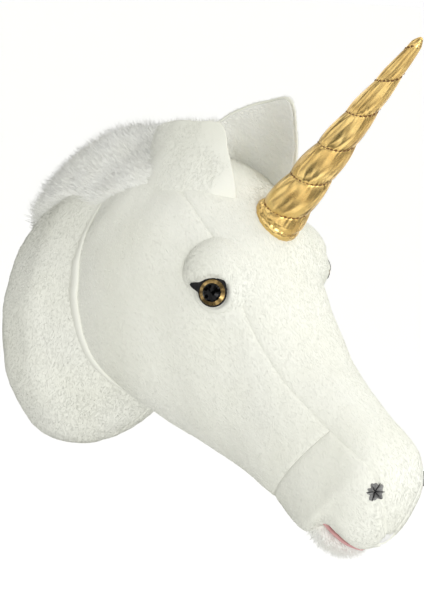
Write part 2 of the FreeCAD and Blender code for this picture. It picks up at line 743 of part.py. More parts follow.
EAR_GAP = 8.0
head_clear = soft("head_clear", head_solid(-EAR_GAP), HEAD)
frame = ear_frame(SIDES["right"])
ear_middle = frame.multiply(Placement(Vector(0, -size("ear_bend_radius"), 0), Rotation()))
EAR_LAYERS = {
    "ear_outer": (1.0, "Sizes.ear_bend_radius", "Sizes.ear_bend_radius - Sizes.ear_cloth"),
    "ear_inner": (0.93, "Sizes.ear_bend_radius - Sizes.ear_cloth - 0.1",
                  "Sizes.ear_bend_radius - Sizes.ear_cloth * 2"),
}
for name, (share, outside, inside) in EAR_LAYERS.items():
    leaf = ear_leaf(name + "_leaf", frame, share, -size("ear_bend_radius"),
                    "Sizes.ear_bend_radius * 1.2")
    drum = cylinder(name + "_drum", ear_middle, -5.0, outside, "Sizes.ear_length * 1.3")
    core = cylinder(name + "_core", ear_middle, -6.0, inside, "Sizes.ear_length * 1.4")
    bent = combine("Cut", name + "_sheet", drum, core)
    cup = combine("Common", name + "_cup", bent, leaf)
    keep_both(combine("Cut", name + "_right", cup, head_clear), name)

# ---- lift ----------------------------------------------------------------------
# Everything is raised so that the origin lies on the lowest part of the rim
# that rests on the wall.
rim_height = size("neck_centre") + NECK_SECTIONS[0][1] * size("neck_height") + size("plush_thickness") / 2
lift = Placement(Vector(0, 0, -rim_height), Rotation())
for item in nodes:
    if item.TypeId == "Part::Mirroring" and item.Source in nodes:
        continue
    item.Placement = lift.multiply(item.Placement)
print("lift", -rim_height)

# ---- check and write ---------------------------------------------------------
BITING_CUTS = ("back_board", "back_felt", "brow_pad_right", "brow_pad_left", "head_stuffing", "ear_outer_right")
LEAST_BITE = 0.01
doc.recompute()
for item in doc.Objects:
    if "Invalid" in item.State or "Error" in item.State:
        raise RuntimeError("broken feature: " + item.Name)
    if item.TypeId == "Part::Cut" and item.Label in BITING_CUTS:
        if item.Shape.Volume > item.Base.Shape.Volume - LEAST_BITE:
            raise RuntimeError("cut removed nothing: " + item.Name)
    if item.TypeId in ("PartDesign::Pocket", "PartDesign::Groove"):
        if item.Shape.Volume > item.BaseFeature.Shape.Volume - LEAST_BITE:
            raise RuntimeError("pocket removed nothing: " + item.Name)
os.makedirs("parts", exist_ok=True)
for item in nodes:
    shape = item.Shape
    if shape.isNull() or not shape.isValid() or not shape.Solids:
        raise RuntimeError("bad shape: " + item.Label)
    shape.exportStep("parts/%s.step" % item.Label)
    print("%-20s solids %2d volume %10.1f" % (item.Label, len(shape.Solids), shape.Volume))
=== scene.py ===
# %% [markdown]
# # A wall-hung plush unicorn head
# The imported CAD model is loaded first. It gives the bodies that move and the places of the small hard
# parts. Everything after this gives those parts their cloth, pile and gloss.

# %% Load the frame
import math
import bpy
import numpy as np
from mathutils import Matrix, Vector


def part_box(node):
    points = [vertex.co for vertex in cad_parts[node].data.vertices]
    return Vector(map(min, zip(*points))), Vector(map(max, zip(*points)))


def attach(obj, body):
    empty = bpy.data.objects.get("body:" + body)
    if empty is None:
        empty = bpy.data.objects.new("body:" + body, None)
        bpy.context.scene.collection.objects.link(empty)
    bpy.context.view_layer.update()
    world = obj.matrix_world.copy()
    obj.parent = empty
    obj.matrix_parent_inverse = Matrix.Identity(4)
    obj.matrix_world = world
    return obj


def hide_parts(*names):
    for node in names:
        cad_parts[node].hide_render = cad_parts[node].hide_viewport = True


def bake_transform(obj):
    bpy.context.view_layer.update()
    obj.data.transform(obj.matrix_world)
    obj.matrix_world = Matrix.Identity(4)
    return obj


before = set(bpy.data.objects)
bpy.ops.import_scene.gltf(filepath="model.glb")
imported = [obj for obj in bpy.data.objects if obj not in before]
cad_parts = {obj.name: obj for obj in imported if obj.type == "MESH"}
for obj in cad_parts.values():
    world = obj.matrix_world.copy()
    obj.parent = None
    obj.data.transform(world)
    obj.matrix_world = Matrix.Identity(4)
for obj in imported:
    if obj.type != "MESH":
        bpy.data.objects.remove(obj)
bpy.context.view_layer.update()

print("nodes in the frame:", len(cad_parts))

# %% [markdown]
# ## Two drawing boards
# The head is drawn along its own nose: `s` runs from the poll to the lips, `n` stands up from the face and
# `x` goes to the toy's left. The neck is drawn straight out of the wall. Two small functions turn both into
# wall coordinates. All numbers are millimetres until a mesh is made, and only then is everything lifted to
# where the rim's lowest part is the origin.

# %% Head and neck coordinates
MM = 0.001
PITCH = math.radians(42.0)
ALONG = np.array([0.0, -math.cos(PITCH), -math.sin(PITCH)])
RISE = np.array([0.0, -math.sin(PITCH), math.cos(PITCH)])
ACROSS = np.array([1.0, 0.0, 0.0])
LIFT = np.array([0.0, 0.0, 98.62])


def place_at(point):
    """A drawing point in millimetres as a place in the scene, in metres."""
    return tuple(float(v) for v in (np.asarray(point) + LIFT) * MM)


def on_head(x, n, s):
    """Head coordinates to wall coordinates."""
    x, n, s = np.broadcast_arrays(x, n, s)
    return x[..., None] * ACROSS + n[..., None] * RISE + s[..., None] * ALONG


def on_neck(x, up, out):
    """Neck coordinates to wall coordinates."""
    x, up, out = np.broadcast_arrays(x, up, out)
    return np.stack([x, -out, up], axis=-1)


def unit(v):
    """Vectors of length one."""
    v = np.asarray(v, float)
    return v / np.maximum(np.linalg.norm(v, axis=-1, keepdims=True), 1e-9)


def curve_through(table, places):
    """A smooth curve through the columns of a table whose first column rises."""
    table = np.array(table, float)
    knots, values = table[:, 0], table[:, 1:]
    slopes = np.gradient(values, knots, axis=0)
    steps = np.diff(values, axis=0) / np.diff(knots)[:, None]
    for i in range(1, len(knots) - 1):
        flat = steps[i - 1] * steps[i] <= 0
        slopes[i][flat] = 0.0
        limit = 3.0 * np.minimum(abs(steps[i - 1]), abs(steps[i]))
        slopes[i] = np.clip(slopes[i], -limit, limit)
    k = np.clip(np.searchsorted(knots, places, side="right") - 1, 0, len(knots) - 2)
    width = (knots[k + 1] - knots[k])
    f = (np.clip(places, knots[0], knots[-1]) - knots[k]) / width
    f, width = f[:, None], width[:, None]
    return ((2 * f**3 - 3 * f**2 + 1) * values[k] + (f**3 - 2 * f**2 + f) * width * slopes[k]
            + (3 * f**2 - 2 * f**3) * values[k + 1] + (f**3 - f**2) * width * slopes[k + 1])


print("the nose points down by", round(math.degrees(PITCH)), "degrees")

# %% [markdown]
# ## The shape of the head
# A sewn head is read best as slices. Each row of the table is one slice: how far along the nose it lies,
# its underside, its top, the height where it is widest, half its width, and how square its upper and lower
# halves are.

# %% Head slices
HEAD_SLICES = [
    (-20, 108, 172, 140, 18, 2.0, 2.0),
    (-14, 78, 184, 132, 44, 2.0, 2.2),
    (0, 42, 202, 122, 65, 2.0, 2.4),
    (24, 26, 216, 110, 78, 2.1, 2.7),
    (60, 20, 226, 108, 83, 2.2, 2.7),
    (100, 26, 224, 112, 80, 2.3, 2.6),
    (140, 32, 206, 116, 69, 2.4, 2.2),
    (175, 44, 192, 120, 58, 2.4, 2.1),
    (212, 58, 186, 122, 49, 2.3, 2.1),
    (252, 68, 186, 124, 44, 2.2, 2.1),
    (284, 72, 185, 126, 45, 2.5, 2.1),
    (291, 80, 183, 127, 46, 2.6, 2.1),
    (297, 97, 181, 130, 45, 2.7, 2.1),
    (308, 101, 174, 129, 43, 2.7, 2.1),
    (321, 102, 160, 126, 36, 2.4, 2.0),
    (329, 105, 143, 123, 24, 2.0, 2.0),
    (333, 111, 130, 121, 11, 2.0, 2.0),
]
BRIDGE_HALF = [(-20, 8), (-14, 20), (0, 34), (30, 46), (100, 53), (148, 50), (188, 43.5), (224, 37.5),
               (252, 34), (300, 30), (320, 23), (329, 14), (333, 6)]
CHIN_HALF = [(-20, 4), (-14, 10), (0, 13), (60, 15), (252, 13), (300, 10), (333, 3)]
MUZZLE_SEAM = 251.0
MOUTH_START = 293.0


def head_slice(s):
    """Underside, top, middle, half width and squareness at each station."""
    return curve_through(HEAD_SLICES, np.atleast_1d(np.asarray(s, float)))


def head_side_x(s, n):
    """Half width of the head at one station and height."""
    low, high, middle, half, above, below = head_slice(s)[0]
    tall, power = (high - middle, above) if n > middle else (middle - low, below)
    share = min(abs(n - middle) / tall, 1.0)
    return half * (1.0 - share**power) ** (1.0 / power)


print("head slices:", len(HEAD_SLICES))

# %% [markdown]
# ## Columns that follow the seams
# The cloth panels meet along seams, so the mesh gets a column exactly on each seam. Between two seams the
# columns crowd towards the seam, because that is where the cloth dips and needs the most points.

# %% Head grid
CROWD = 0.62
WIDEST_STRIP = 0.98


def crowded(count):
    """count steps from 0 to 1, close together near both ends."""
    t = np.arange(count) / count
    return t - CROWD * np.sin(2 * math.pi * t) / (2 * math.pi)


def head_grid(stations, counts, inset=0.0):
    """Points, one row per station, and the first column of each of the four strips."""
    low, high, middle, half, above, below = head_slice(stations).T
    bridge = curve_through(BRIDGE_HALF, stations)[:, 0]
    chin = curve_through(CHIN_HALF, stations)[:, 0]
    top_angle = np.arccos(np.clip(bridge / half, 0, WIDEST_STRIP) ** (above / 2))
    low_angle = -np.arccos(np.clip(chin / half, 0, WIDEST_STRIP) ** (below / 2))
    turns = [top_angle, math.pi - top_angle, math.pi - low_angle,
             2 * math.pi + low_angle, 2 * math.pi + top_angle]
    limits = list(zip(turns[:-1], turns[1:]))
    angles = np.concatenate(
        [a[:, None] + (b - a)[:, None] * crowded(c)[None] for (a, b), c in zip(limits, counts)], axis=1)
    c, s = np.cos(angles), np.sin(angles)
    power = np.where(s >= 0, above[:, None], below[:, None])
    x = (half - inset)[:, None] * np.sign(c) * abs(c) ** (2 / power)
    tall = np.where(s >= 0, (high - middle - inset)[:, None], (middle - low - inset)[:, None])
    n = middle[:, None] + tall * np.sign(s) * abs(s) ** (2 / power)
    return on_head(x, n, np.broadcast_to(stations[:, None], x.shape))


def grid_quads(rows, columns, wrap=True):
    """Quads of a grid of points, counted row by row."""
    quads = []
    last = columns if wrap else columns - 1
    for r in range(rows - 1):
        for c in range(last):
            d = (c + 1) % columns
            quads.append((r * columns + c, r * columns + d, (r + 1) * columns + d, (r + 1) * columns + c))
    return quads


def grid_normals(points, wrap=True):
    """Outward unit normals of a grid of points."""
    if wrap:
        across = np.roll(points, -1, axis=1) - np.roll(points, 1, axis=1)
    else:
        across = np.gradient(points, axis=1)
    along = np.gradient(points, axis=0)
    return unit(np.cross(across, along))


print("helpers made:", "crowded, head_grid, grid_quads, grid_normals")

# %% [markdown]
# ## Cloth that swells
# Stuffing pushes a cover outwards and the seams hold it back. The cover is made as a coarse net, its seams
# are pinned, and a short cloth simulation with pressure and no gravity lets it swell. The swelling is
# measured at each net point, capped, and handed to the fine mesh, so the fine mesh keeps its exact seams.

# %% Swelling by cloth simulation
SWELL_FRAMES = 20
PRESSURE = 3.0
HEAD_CAP, NECK_CAP = 3.2, 3.0


def swell(points, quads, pins, pressure, cap):
    """How far each point of a net moves when the cloth is under pressure."""
    mesh = bpy.data.meshes.new("net")
    mesh.from_pydata((points * MM).tolist(), [], quads)
    net = bpy.data.objects.new("net", mesh)
    bpy.context.collection.objects.link(net)
    group = net.vertex_groups.new(name="pinned")
    for i, w in enumerate(pins):
        if w > 0.01:
            group.add([i], float(w), "REPLACE")
    cloth = net.modifiers.new("cloth", "CLOTH")
    settings = cloth.settings
    settings.quality = 4
    settings.mass = 0.15
    settings.tension_stiffness = 25
    settings.compression_stiffness = 15
    settings.shear_stiffness = 10
    settings.bending_stiffness = 2.0
    settings.use_pressure = True
    settings.uniform_pressure_force = pressure
    settings.effector_weights.gravity = 0.0
    settings.vertex_group_mass = "pinned"
    cloth.point_cache.frame_start = 1
    cloth.point_cache.frame_end = SWELL_FRAMES
    for frame_number in range(1, SWELL_FRAMES + 1):
        bpy.context.scene.frame_set(frame_number)
    settled = net.evaluated_get(bpy.context.evaluated_depsgraph_get()).to_mesh()
    moved = np.empty(len(points) * 3)
    settled.vertices.foreach_get("co", moved)
    moved = moved.reshape(-1, 3) / MM - points
    bpy.data.objects.remove(net)
    bpy.data.meshes.remove(mesh)
    bpy.context.scene.frame_set(1)
    length = np.linalg.norm(moved, axis=1, keepdims=True)
    return moved * np.minimum(1.0, cap / np.maximum(length, 1e-6))


print("helpers made:", "swell")

# %% [markdown]
# ## From points to pieces
# Each panel becomes a closed piece of cloth: an outer face, an inner face a few millimetres below it, and a
# rim that joins the two, so that it stays a real layer when it is looked at from behind.

# %% Piece builders
def new_piece(name, points, faces, material, body="head", smooth=True):
    """A mesh piece from wall coordinates in millimetres, riding on one body."""
    mesh = bpy.data.meshes.new(name)
    mesh.from_pydata(((np.asarray(points).reshape(-1, 3) + LIFT) * MM).tolist(), [], faces)
    mesh.validate()
    mesh.polygons.foreach_set("use_smooth", [smooth] * len(mesh.polygons))
    if material:
        mesh.materials.append(material)
    piece = bpy.data.objects.new(name, mesh)
    bpy.context.collection.objects.link(piece)
    if body:
        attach(piece, body)
    return piece


def layer(points, quads, normals, depth):
    """Closes an open sheet into a layer of the given depth."""
    used = sorted({i for q in quads for i in q})
    place = {old: new for new, old in enumerate(used)}
    count = len(used)
    outer = points[used]
    inner = outer - normals[used] * depth
    faces = [tuple(place[i] for i in q) for q in quads]
    back = [tuple(count + i for i in reversed(q)) for q in faces]
    edges = {}
    for q in faces:
        for a, b in zip(q, q[1:] + q[:1]):
            if (b, a) in edges:
                del edges[(b, a)]
            else:
                edges[(a, b)] = True
    rim = [(b, a, count + a, count + b) for a, b in edges]
    return np.concatenate([outer, inner]), faces + back + rim


RIPPLE_WAVES = 7


def ripple(points, scale, seed):
    """Smooth seeded unevenness between -1 and 1, the same on every run."""
    rng = np.random.default_rng(seed)
    total = np.zeros(points.shape[:-1])
    for _ in range(RIPPLE_WAVES):
        wave = rng.normal(size=3)
        wave *= (0.6 + rng.random() * 0.9) / scale / np.linalg.norm(wave) * 2 * math.pi
        total += np.sin(points @ wave + rng.random() * 6.28)
    return total / 3.2


print("helpers made:", "new_piece, layer, ripple")

# %% [markdown]
# ## Finishes
# The pile cloth, the long pile, the gold satin and the felts each get a material of their own. What several
# of them share, a soft mottling and a fine fibre relief, is a node group that puts out a colour and a
# height. The mottling lays each cloth's shade colour over its colour in random patches; on the white cloths
# that shade colour is the warmer tint of shaded cloth, so there it is painted shade.

# %% Hairy cloth group
def fibre_group():
    """Colour mottled with the shade colour in random patches, and fine fibre relief for every hairy cloth."""
    tree = bpy.data.node_groups.new("fibre cloth", "ShaderNodeTree")
    face = tree.interface
    for name, kind in (("Colour", "NodeSocketColor"), ("Shade colour", "NodeSocketColor"),
                       ("Patch size", "NodeSocketFloat"), ("Fibre size", "NodeSocketFloat")):
        face.new_socket(name=name, in_out="INPUT", socket_type=kind)
    face.new_socket(name="Colour", in_out="OUTPUT", socket_type="NodeSocketColor")
    face.new_socket(name="Height", in_out="OUTPUT", socket_type="NodeSocketFloat")
    nodes, links = tree.nodes, tree.links
    inside = nodes.new("NodeGroupInput")
    outside = nodes.new("NodeGroupOutput")
    where = nodes.new("ShaderNodeTexCoord")
    patch = nodes.new("ShaderNodeTexNoise")
    patch.inputs["Detail"].default_value = 3.0
    fibre = nodes.new("ShaderNodeTexNoise")
    fibre.inputs["Detail"].default_value = 4.0
    fibre.inputs["Roughness"].default_value = 0.7
    streak = nodes.new("ShaderNodeMapping")
    streak.inputs["Scale"].default_value = (1.0, 0.55, 0.55)
    mix = nodes.new("ShaderNodeMix")
    mix.data_type = "RGBA"
    ramp = nodes.new("ShaderNodeMapRange")
    ramp.inputs["From Min"].default_value = 0.35
    ramp.inputs["From Max"].default_value = 0.75
    links.new(where.outputs["Object"], patch.inputs["Vector"])
    links.new(where.outputs["Object"], streak.inputs["Vector"])
    links.new(streak.outputs["Vector"], fibre.inputs["Vector"])
    links.new(inside.outputs["Patch size"], patch.inputs["Scale"])
    links.new(inside.outputs["Fibre size"], fibre.inputs["Scale"])
    links.new(patch.outputs["Fac"], ramp.inputs["Value"])
    links.new(ramp.outputs["Result"], mix.inputs["Factor"])
    links.new(inside.outputs["Colour"], mix.inputs["A"])
    links.new(inside.outputs["Shade colour"], mix.inputs["B"])
    links.new(mix.outputs["Result"], outside.inputs["Colour"])
    links.new(fibre.outputs["Fac"], outside.inputs["Height"])
    return tree


FIBRE = fibre_group()
print("shared group:", FIBRE.name)

# %% [markdown]
# ## Materials
# Every cloth here is the same kind of material with its own colours and sizes, so one function makes them
# all. The numbers that are even all over the cloth, such as its sheen, are set on the shader itself.


# %% Cloth materials
def plain_shader(name, colour, roughness, metallic=0.0):
    """A material with a Principled shader and its constant sockets set."""
    material = bpy.data.materials.new(name)
    material.use_nodes = True
    shader = material.node_tree.nodes["Principled BSDF"]
    shader.inputs["Base Color"].default_value = (*colour, 1.0)
    shader.inputs["Roughness"].default_value = roughness
    shader.inputs["Metallic"].default_value = metallic
    return material, shader


def cloth_material(name, colour, shade, roughness, sheen, patch, fibre, relief):
    """A hairy cloth: colour mottled with its shade colour, fine relief and sheen."""
    material, shader = plain_shader(name, colour, roughness)
    nodes, links = material.node_tree.nodes, material.node_tree.links
    shader.inputs["Sheen Weight"].default_value = sheen
    shader.inputs["Sheen Roughness"].default_value = 0.5
    shader.inputs["Specular IOR Level"].default_value = 0.2
    cloth = nodes.new("ShaderNodeGroup")
    cloth.node_tree = FIBRE
    cloth.inputs["Colour"].default_value = (*colour, 1.0)
    cloth.inputs["Shade colour"].default_value = (*shade, 1.0)
    cloth.inputs["Patch size"].default_value = patch
    cloth.inputs["Fibre size"].default_value = fibre
    bump = nodes.new("ShaderNodeBump")
    bump.inputs["Strength"].default_value = relief
    bump.inputs["Distance"].default_value = 0.001
    links.new(cloth.outputs["Colour"], shader.inputs["Base Color"])
    links.new(cloth.outputs["Height"], bump.inputs["Height"])
    links.new(bump.outputs["Normal"], shader.inputs["Normal"])
    return material


# Each row: colour, shade colour, roughness, sheen, patch size, fibre size and relief.
# On the white plush and long pile the shade colour is the warmer tint of shaded cloth: painted shade in
# random patches.
PLUSH = cloth_material("white plush", (0.93, 0.935, 0.87), (0.905, 0.91, 0.82), 0.95, 0.1, 14, 900, 0.25)
LONG_PILE = cloth_material("long white pile", (0.96, 0.965, 0.94), (0.92, 0.92, 0.87), 0.9, 0.1,
                           40, 1400, 0.15)
BLACK_FELT = cloth_material("black felt", (0.012, 0.012, 0.013), (0.03, 0.03, 0.03), 0.9, 0.1, 200, 1500, 0.5)
PINK_FELT = cloth_material("pink felt", (0.75, 0.42, 0.42), (0.62, 0.32, 0.33), 0.9, 0.2, 90, 1500, 0.5)
GREY_CLOTH = cloth_material("nostril cloth", (0.30, 0.30, 0.30), (0.10, 0.10, 0.10), 0.9, 0.1, 260, 1200, 0.6)
BACK_FELT = cloth_material("back felt", (0.80, 0.80, 0.77), (0.72, 0.72, 0.68), 0.95, 0.1, 40, 1100, 0.6)
FILL = cloth_material("polyester fill", (0.90, 0.90, 0.89), (0.80, 0.80, 0.80), 0.95, 0.2, 30, 350, 0.9)
print("cloth finishes:", len([m for m in bpy.data.materials if m.use_nodes]))

# %% [markdown]
# ## The head cover
# The fine grid is built, the swelling from the coarse net is added, the seams are pulled in and the cover
# gets a little unevenness from its filling. Then it is cut into its panels along the seams.

# %% Stations and seams
COUNTS = (56, 72, 20, 72)
NET_COUNTS = (14, 18, 6, 18)
NET_STEP, FINE_STEP = 9.0, 2.6
PIN_REACH = 3.0
NO_SEAM = 1e3


def station_rows(step):
    """Stations from the poll to the lips, with one exactly on the muzzle seam."""
    first, last = HEAD_SLICES[0][0], HEAD_SLICES[-1][0]
    parts = [(first, MUZZLE_SEAM), (MUZZLE_SEAM, MOUTH_START), (MOUTH_START, last)]
    rows = []
    for a, b in parts:
        count = max(3, int(round((b - a) / step)))
        rows.extend(a + (b - a) * crowded(count))
    return np.array(rows + [last])


def strip_starts(counts):
    """Columns where the strips start."""
    return [0, counts[0], counts[0] + counts[1], sum(counts[:3])]


def column_share(counts):
    """Place of every column round the ring, as strip number plus share."""
    return np.concatenate([i + crowded(c) for i, c in enumerate(counts)])


def seam_distance(counts, points, stations):
    """Rough distance of each grid point from the nearest seam, in mm."""
    starts = strip_starts(counts)
    distance = np.full(points.shape[:2], NO_SEAM)
    for column in starts:
        gap = np.linalg.norm(points - points[:, column:column + 1], axis=2)
        distance = np.minimum(distance, gap)
    cross = abs(stations - MUZZLE_SEAM)[:, None] * np.ones(points.shape[1])
    cross[:, :counts[0]] = NO_SEAM
    cross[:, starts[2]:starts[3]] = NO_SEAM
    return np.minimum(distance, cross)


def head_swelling(fine_stations, fine_counts):
    """Cloth swelling of the head, carried from the net to the fine grid."""
    stations = station_rows(NET_STEP)
    points = head_grid(stations, NET_COUNTS)
    distance = seam_distance(NET_COUNTS, points, stations)
    pins = np.where(distance < PIN_REACH, 1.0, 0.0)
    pins[:4] = 1.0
    pins[-3:] = 1.0
    rows, columns = points.shape[:2]
    moved = swell(points.reshape(-1, 3), grid_quads(rows, columns), pins.ravel(), PRESSURE, HEAD_CAP)
    moved = moved.reshape(rows, columns, 3)
    column_from = np.append(column_share(NET_COUNTS), 4.0)
    moved = np.concatenate([moved, moved[:, :1]], axis=1)
    fine_columns = column_share(fine_counts)
    half = np.stack([[np.interp(fine_columns, column_from, moved[r, :, k]) for k in range(3)]
                     for r in range(rows)])
    return np.stack([[np.interp(fine_stations, stations, half[:, k, c]) for k in range(3)]
                     for c in range(len(fine_columns))]).transpose(2, 0, 1)


print("helpers made:", "station_rows, strip_starts, column_share, seam_distance, head_swelling")

# %% [markdown]
# ## The fine cover
# The seams dip sharply within two millimetres and sag gently over seven, as thread pulls stuffed cloth. Two
# ripples, one broad and one small, stand for the filling below.

# %% Head cover
SEAM_DIP, SEAM_DIP_REACH = 1.0, 1.7
SEAM_SAG, SEAM_SAG_REACH = 0.6, 7.0
HEAD_STATIONS = station_rows(FINE_STEP)
head_points = head_grid(HEAD_STATIONS, COUNTS)
head_normals = grid_normals(head_points)
head_points = head_points + head_swelling(HEAD_STATIONS, COUNTS)
SEAM_GAP = seam_distance(COUNTS, head_points, HEAD_STATIONS)
groove = (-SEAM_DIP * np.exp(-(SEAM_GAP / SEAM_DIP_REACH) ** 2)
          - SEAM_SAG * np.exp(-(SEAM_GAP / SEAM_SAG_REACH) ** 2))
uneven = 0.8 * ripple(head_points, 60.0, 3) + 0.22 * ripple(head_points, 17.0, 4)
head_points = head_points + head_normals * (groove + uneven)[..., None]
head_normals = grid_normals(head_points)
HEAD_SHAPE = head_points.shape[:2]
print("head cover points:", head_points.shape[0] * head_points.shape[1])

# %% [markdown]
# ## Where the head meets the neck
# The neck is drawn as slices too. The line where both covers meet is found by walking along each column of
# the head until it comes out of the neck; the stitched tuck follows that line.

# %% Neck slices
NECK_SLICES = [
    (0, -100, 92, -4, 84),
    (5, -107, 98, -4, 90),
    (14, -111, 107, -4, 94),
    (34, -108, 123, 0, 95),
    (60, -91, 141, 12, 85),
    (90, -66, 150, 30, 71),
    (130, -26, 147, 50, 48),
]
NECK_DEEP = NECK_SLICES[-1][0]
OUTSIDE = 2.0


def neck_slice(out):
    """Underside, top, middle and half width at each distance from the wall."""
    return curve_through(NECK_SLICES, np.atleast_1d(np.asarray(out, float)))


def inside_neck(points):
    """Below 1 inside the neck, above 1 outside."""
    low, high, middle, half = neck_slice(np.clip(-points[..., 1].ravel(), 0, NECK_DEEP)).T
    z, x = points[..., 2].ravel(), points[..., 0].ravel()
    tall = np.where(z > middle, high - middle, middle - low)
    value = np.sqrt((x / half) ** 2 + ((z - middle) / tall) ** 2)
    value = np.where(-points[..., 1].ravel() > NECK_DEEP, OUTSIDE, value)
    return value.reshape(points.shape[:-1])


def neck_line(first, last):
    """Where the head's columns come out of the neck, on one side."""
    line, facing = [], []
    value = inside_neck(head_points)
    for column in range(first, last):
        inside = np.nonzero(value[:, column] < 1.0)[0]
        if len(inside) == 0 or inside[-1] + 1 >= len(value):
            continue
        r = inside[-1]
        f = (1.0 - value[r, column]) / (value[r + 1, column] - value[r, column])
        line.append(head_points[r, column] * (1 - f) + head_points[r + 1, column] * f)
        facing.append(head_normals[r, column])
    return np.array(line), unit(np.array(facing))


right_line, right_facing = neck_line(COUNTS[0], COUNTS[0] + COUNTS[1] + COUNTS[2] // 2)
print("neck line points:", len(right_line), right_line[0].round(), right_line[-1].round())

# %% [markdown]
# ## Cutting the cover into panels
# A real head is sewn from a bridge strip, a chin strip, two head sides and two muzzle sides. The grid has a
# column or a row on every seam, so each panel is a rectangle of it, closed into a layer as deep as pile
# cloth.


# %% Head panels
def panel_quads(row_from, row_to, column_from, column_to):
    """Quads of one rectangle of the head grid."""
    rows, columns = HEAD_SHAPE
    quads = []
    for r in range(row_from, row_to):
        for c in range(column_from, column_to):
            d = (c + 1) % columns
            quads.append((r * columns + c, r * columns + d, (r + 1) * columns + d, (r + 1) * columns + c))
    return quads


CLOTH_DEPTH = 2.4
SEAM_ROW = int(np.argmin(abs(HEAD_STATIONS - MUZZLE_SEAM)))
LAST_ROW = HEAD_SHAPE[0] - 1
STARTS = strip_starts(COUNTS)
TOTAL = sum(COUNTS)
PANELS = {
    "bridge_gusset": (0, LAST_ROW, 0, STARTS[1]),
    "head_panel_right": (0, SEAM_ROW, STARTS[1], STARTS[2]),
    "muzzle_panel_right": (SEAM_ROW, LAST_ROW, STARTS[1], STARTS[2]),
    "chin_gusset": (0, LAST_ROW, STARTS[2], STARTS[3]),
    "head_panel_left": (0, SEAM_ROW, STARTS[3], TOTAL),
    "muzzle_panel_left": (SEAM_ROW, LAST_ROW, STARTS[3], TOTAL),
}
flat_points, flat_normals = head_points.reshape(-1, 3), head_normals.reshape(-1, 3)
for node, limits in PANELS.items():
    points, faces = layer(flat_points, panel_quads(*limits), flat_normals, CLOTH_DEPTH)
    piece = new_piece(node + "_cloth", points, faces, PLUSH)
    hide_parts(node)
print("head panels:", len(PANELS))

# %% [markdown]
# ## The neck collar
# Two panels meet on the middle line. The rim at the wall rolls in towards the back board, as a drawn and
# stapled edge does.

# %% Neck grid
NECK_COLUMNS = 176
NET_ROWS, NET_SHARE = 16, 4
NECK_ROWS = np.concatenate([np.linspace(0, 14, 8)[:-1], np.linspace(14, NECK_DEEP, 50)])


def neck_grid(outs, columns, inset=0.0):
    """Points of the neck, one row per distance from the wall."""
    low, high, middle, half = neck_slice(outs).T
    t = math.pi / 2 + 2 * math.pi * np.arange(columns) / columns
    c, s = np.cos(t)[None], np.sin(t)[None]
    tall = np.where(s >= 0, (high - middle)[:, None], (middle - low)[:, None]) - inset
    return on_neck((half - inset)[:, None] * c, middle[:, None] + tall * s, outs[:, None])


def neck_swelling():
    """Cloth swelling of the neck on its fine grid."""
    outs = np.linspace(0, NECK_DEEP, NET_ROWS)
    columns = NECK_COLUMNS // NET_SHARE
    points = neck_grid(outs, columns)
    pins = np.zeros(points.shape[:2])
    pins[0] = pins[-1] = 1.0
    pins[:, 0] = 1.0
    pins[:, columns // 2] = 1.0
    moved = swell(points.reshape(-1, 3), grid_quads(NET_ROWS, columns), pins.ravel(), PRESSURE, NECK_CAP)
    moved = moved.reshape(NET_ROWS, columns, 3)
    moved = np.concatenate([moved, moved[:, :1]], axis=1)
    fine = np.arange(NECK_COLUMNS) / NET_SHARE
    half = np.stack([[np.interp(fine, np.arange(columns + 1), moved[r, :, k]) for k in range(3)]
                     for r in range(NET_ROWS)])
    return np.stack([[np.interp(NECK_ROWS, outs, half[:, k, c]) for k in range(3)]
                     for c in range(NECK_COLUMNS)]).transpose(2, 0, 1)


print("helpers made:", "neck_grid, neck_swelling")

# %% [markdown]
# ## Sewing the collar
# The swelling is added, the seam on the middle line is pulled in and the rim is rolled inwards. The grid is
# then cut on the middle line into a right and a left panel.

# %% Neck panels
MIDDLE_DIP, MIDDLE_DIP_REACH = 1.2, 2.2
ROLL_OUTS = np.array([9.0, 5.0, 2.0])
ROLL_SHRINK = np.array([0.93, 0.945, 0.97])[:, None, None]
ROLL_CENTRE = np.array([0.0, 0.0, -4.0])
neck_points = neck_grid(NECK_ROWS, NECK_COLUMNS)
neck_points = neck_points + neck_swelling()
neck_normals = grid_normals(neck_points)
middle_gap = abs(neck_points[..., 0])
neck_points = neck_points + neck_normals * (
    -MIDDLE_DIP * np.exp(-(middle_gap / MIDDLE_DIP_REACH) ** 2)
    + 0.9 * ripple(neck_points, 55.0, 8) + 0.2 * ripple(neck_points, 15.0, 9))[..., None]
roll_in = neck_grid(ROLL_OUTS, NECK_COLUMNS)
roll_in[..., [0, 2]] = (roll_in - ROLL_CENTRE)[..., [0, 2]] * ROLL_SHRINK + ROLL_CENTRE[[0, 2]]
neck_points = np.concatenate([roll_in, neck_points], axis=0)
neck_normals = grid_normals(neck_points)
neck_rows = neck_points.shape[0]
half_way = NECK_COLUMNS // 2
for side, columns in (("right", range(0, half_way)), ("left", range(half_way, NECK_COLUMNS))):
    quads = [(r * NECK_COLUMNS + c, r * NECK_COLUMNS + (c + 1) % NECK_COLUMNS,
              (r + 1) * NECK_COLUMNS + (c + 1) % NECK_COLUMNS, (r + 1) * NECK_COLUMNS + c)
             for r in range(neck_rows - 1) for c in columns]
    points, faces = layer(neck_points.reshape(-1, 3), quads, neck_normals.reshape(-1, 3), CLOTH_DEPTH)
    piece = new_piece("neck_panel_%s_cloth" % side, points, faces, PLUSH)
    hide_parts("neck_panel_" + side)
print("neck cover rows:", neck_rows)

# %% [markdown]
# ## What fills it
# Loose polyester fill keeps the covers round. It shows only when a cover is taken away, so a smaller form
# of the head and one of the collar, a few millimetres inside the cloth, are enough.

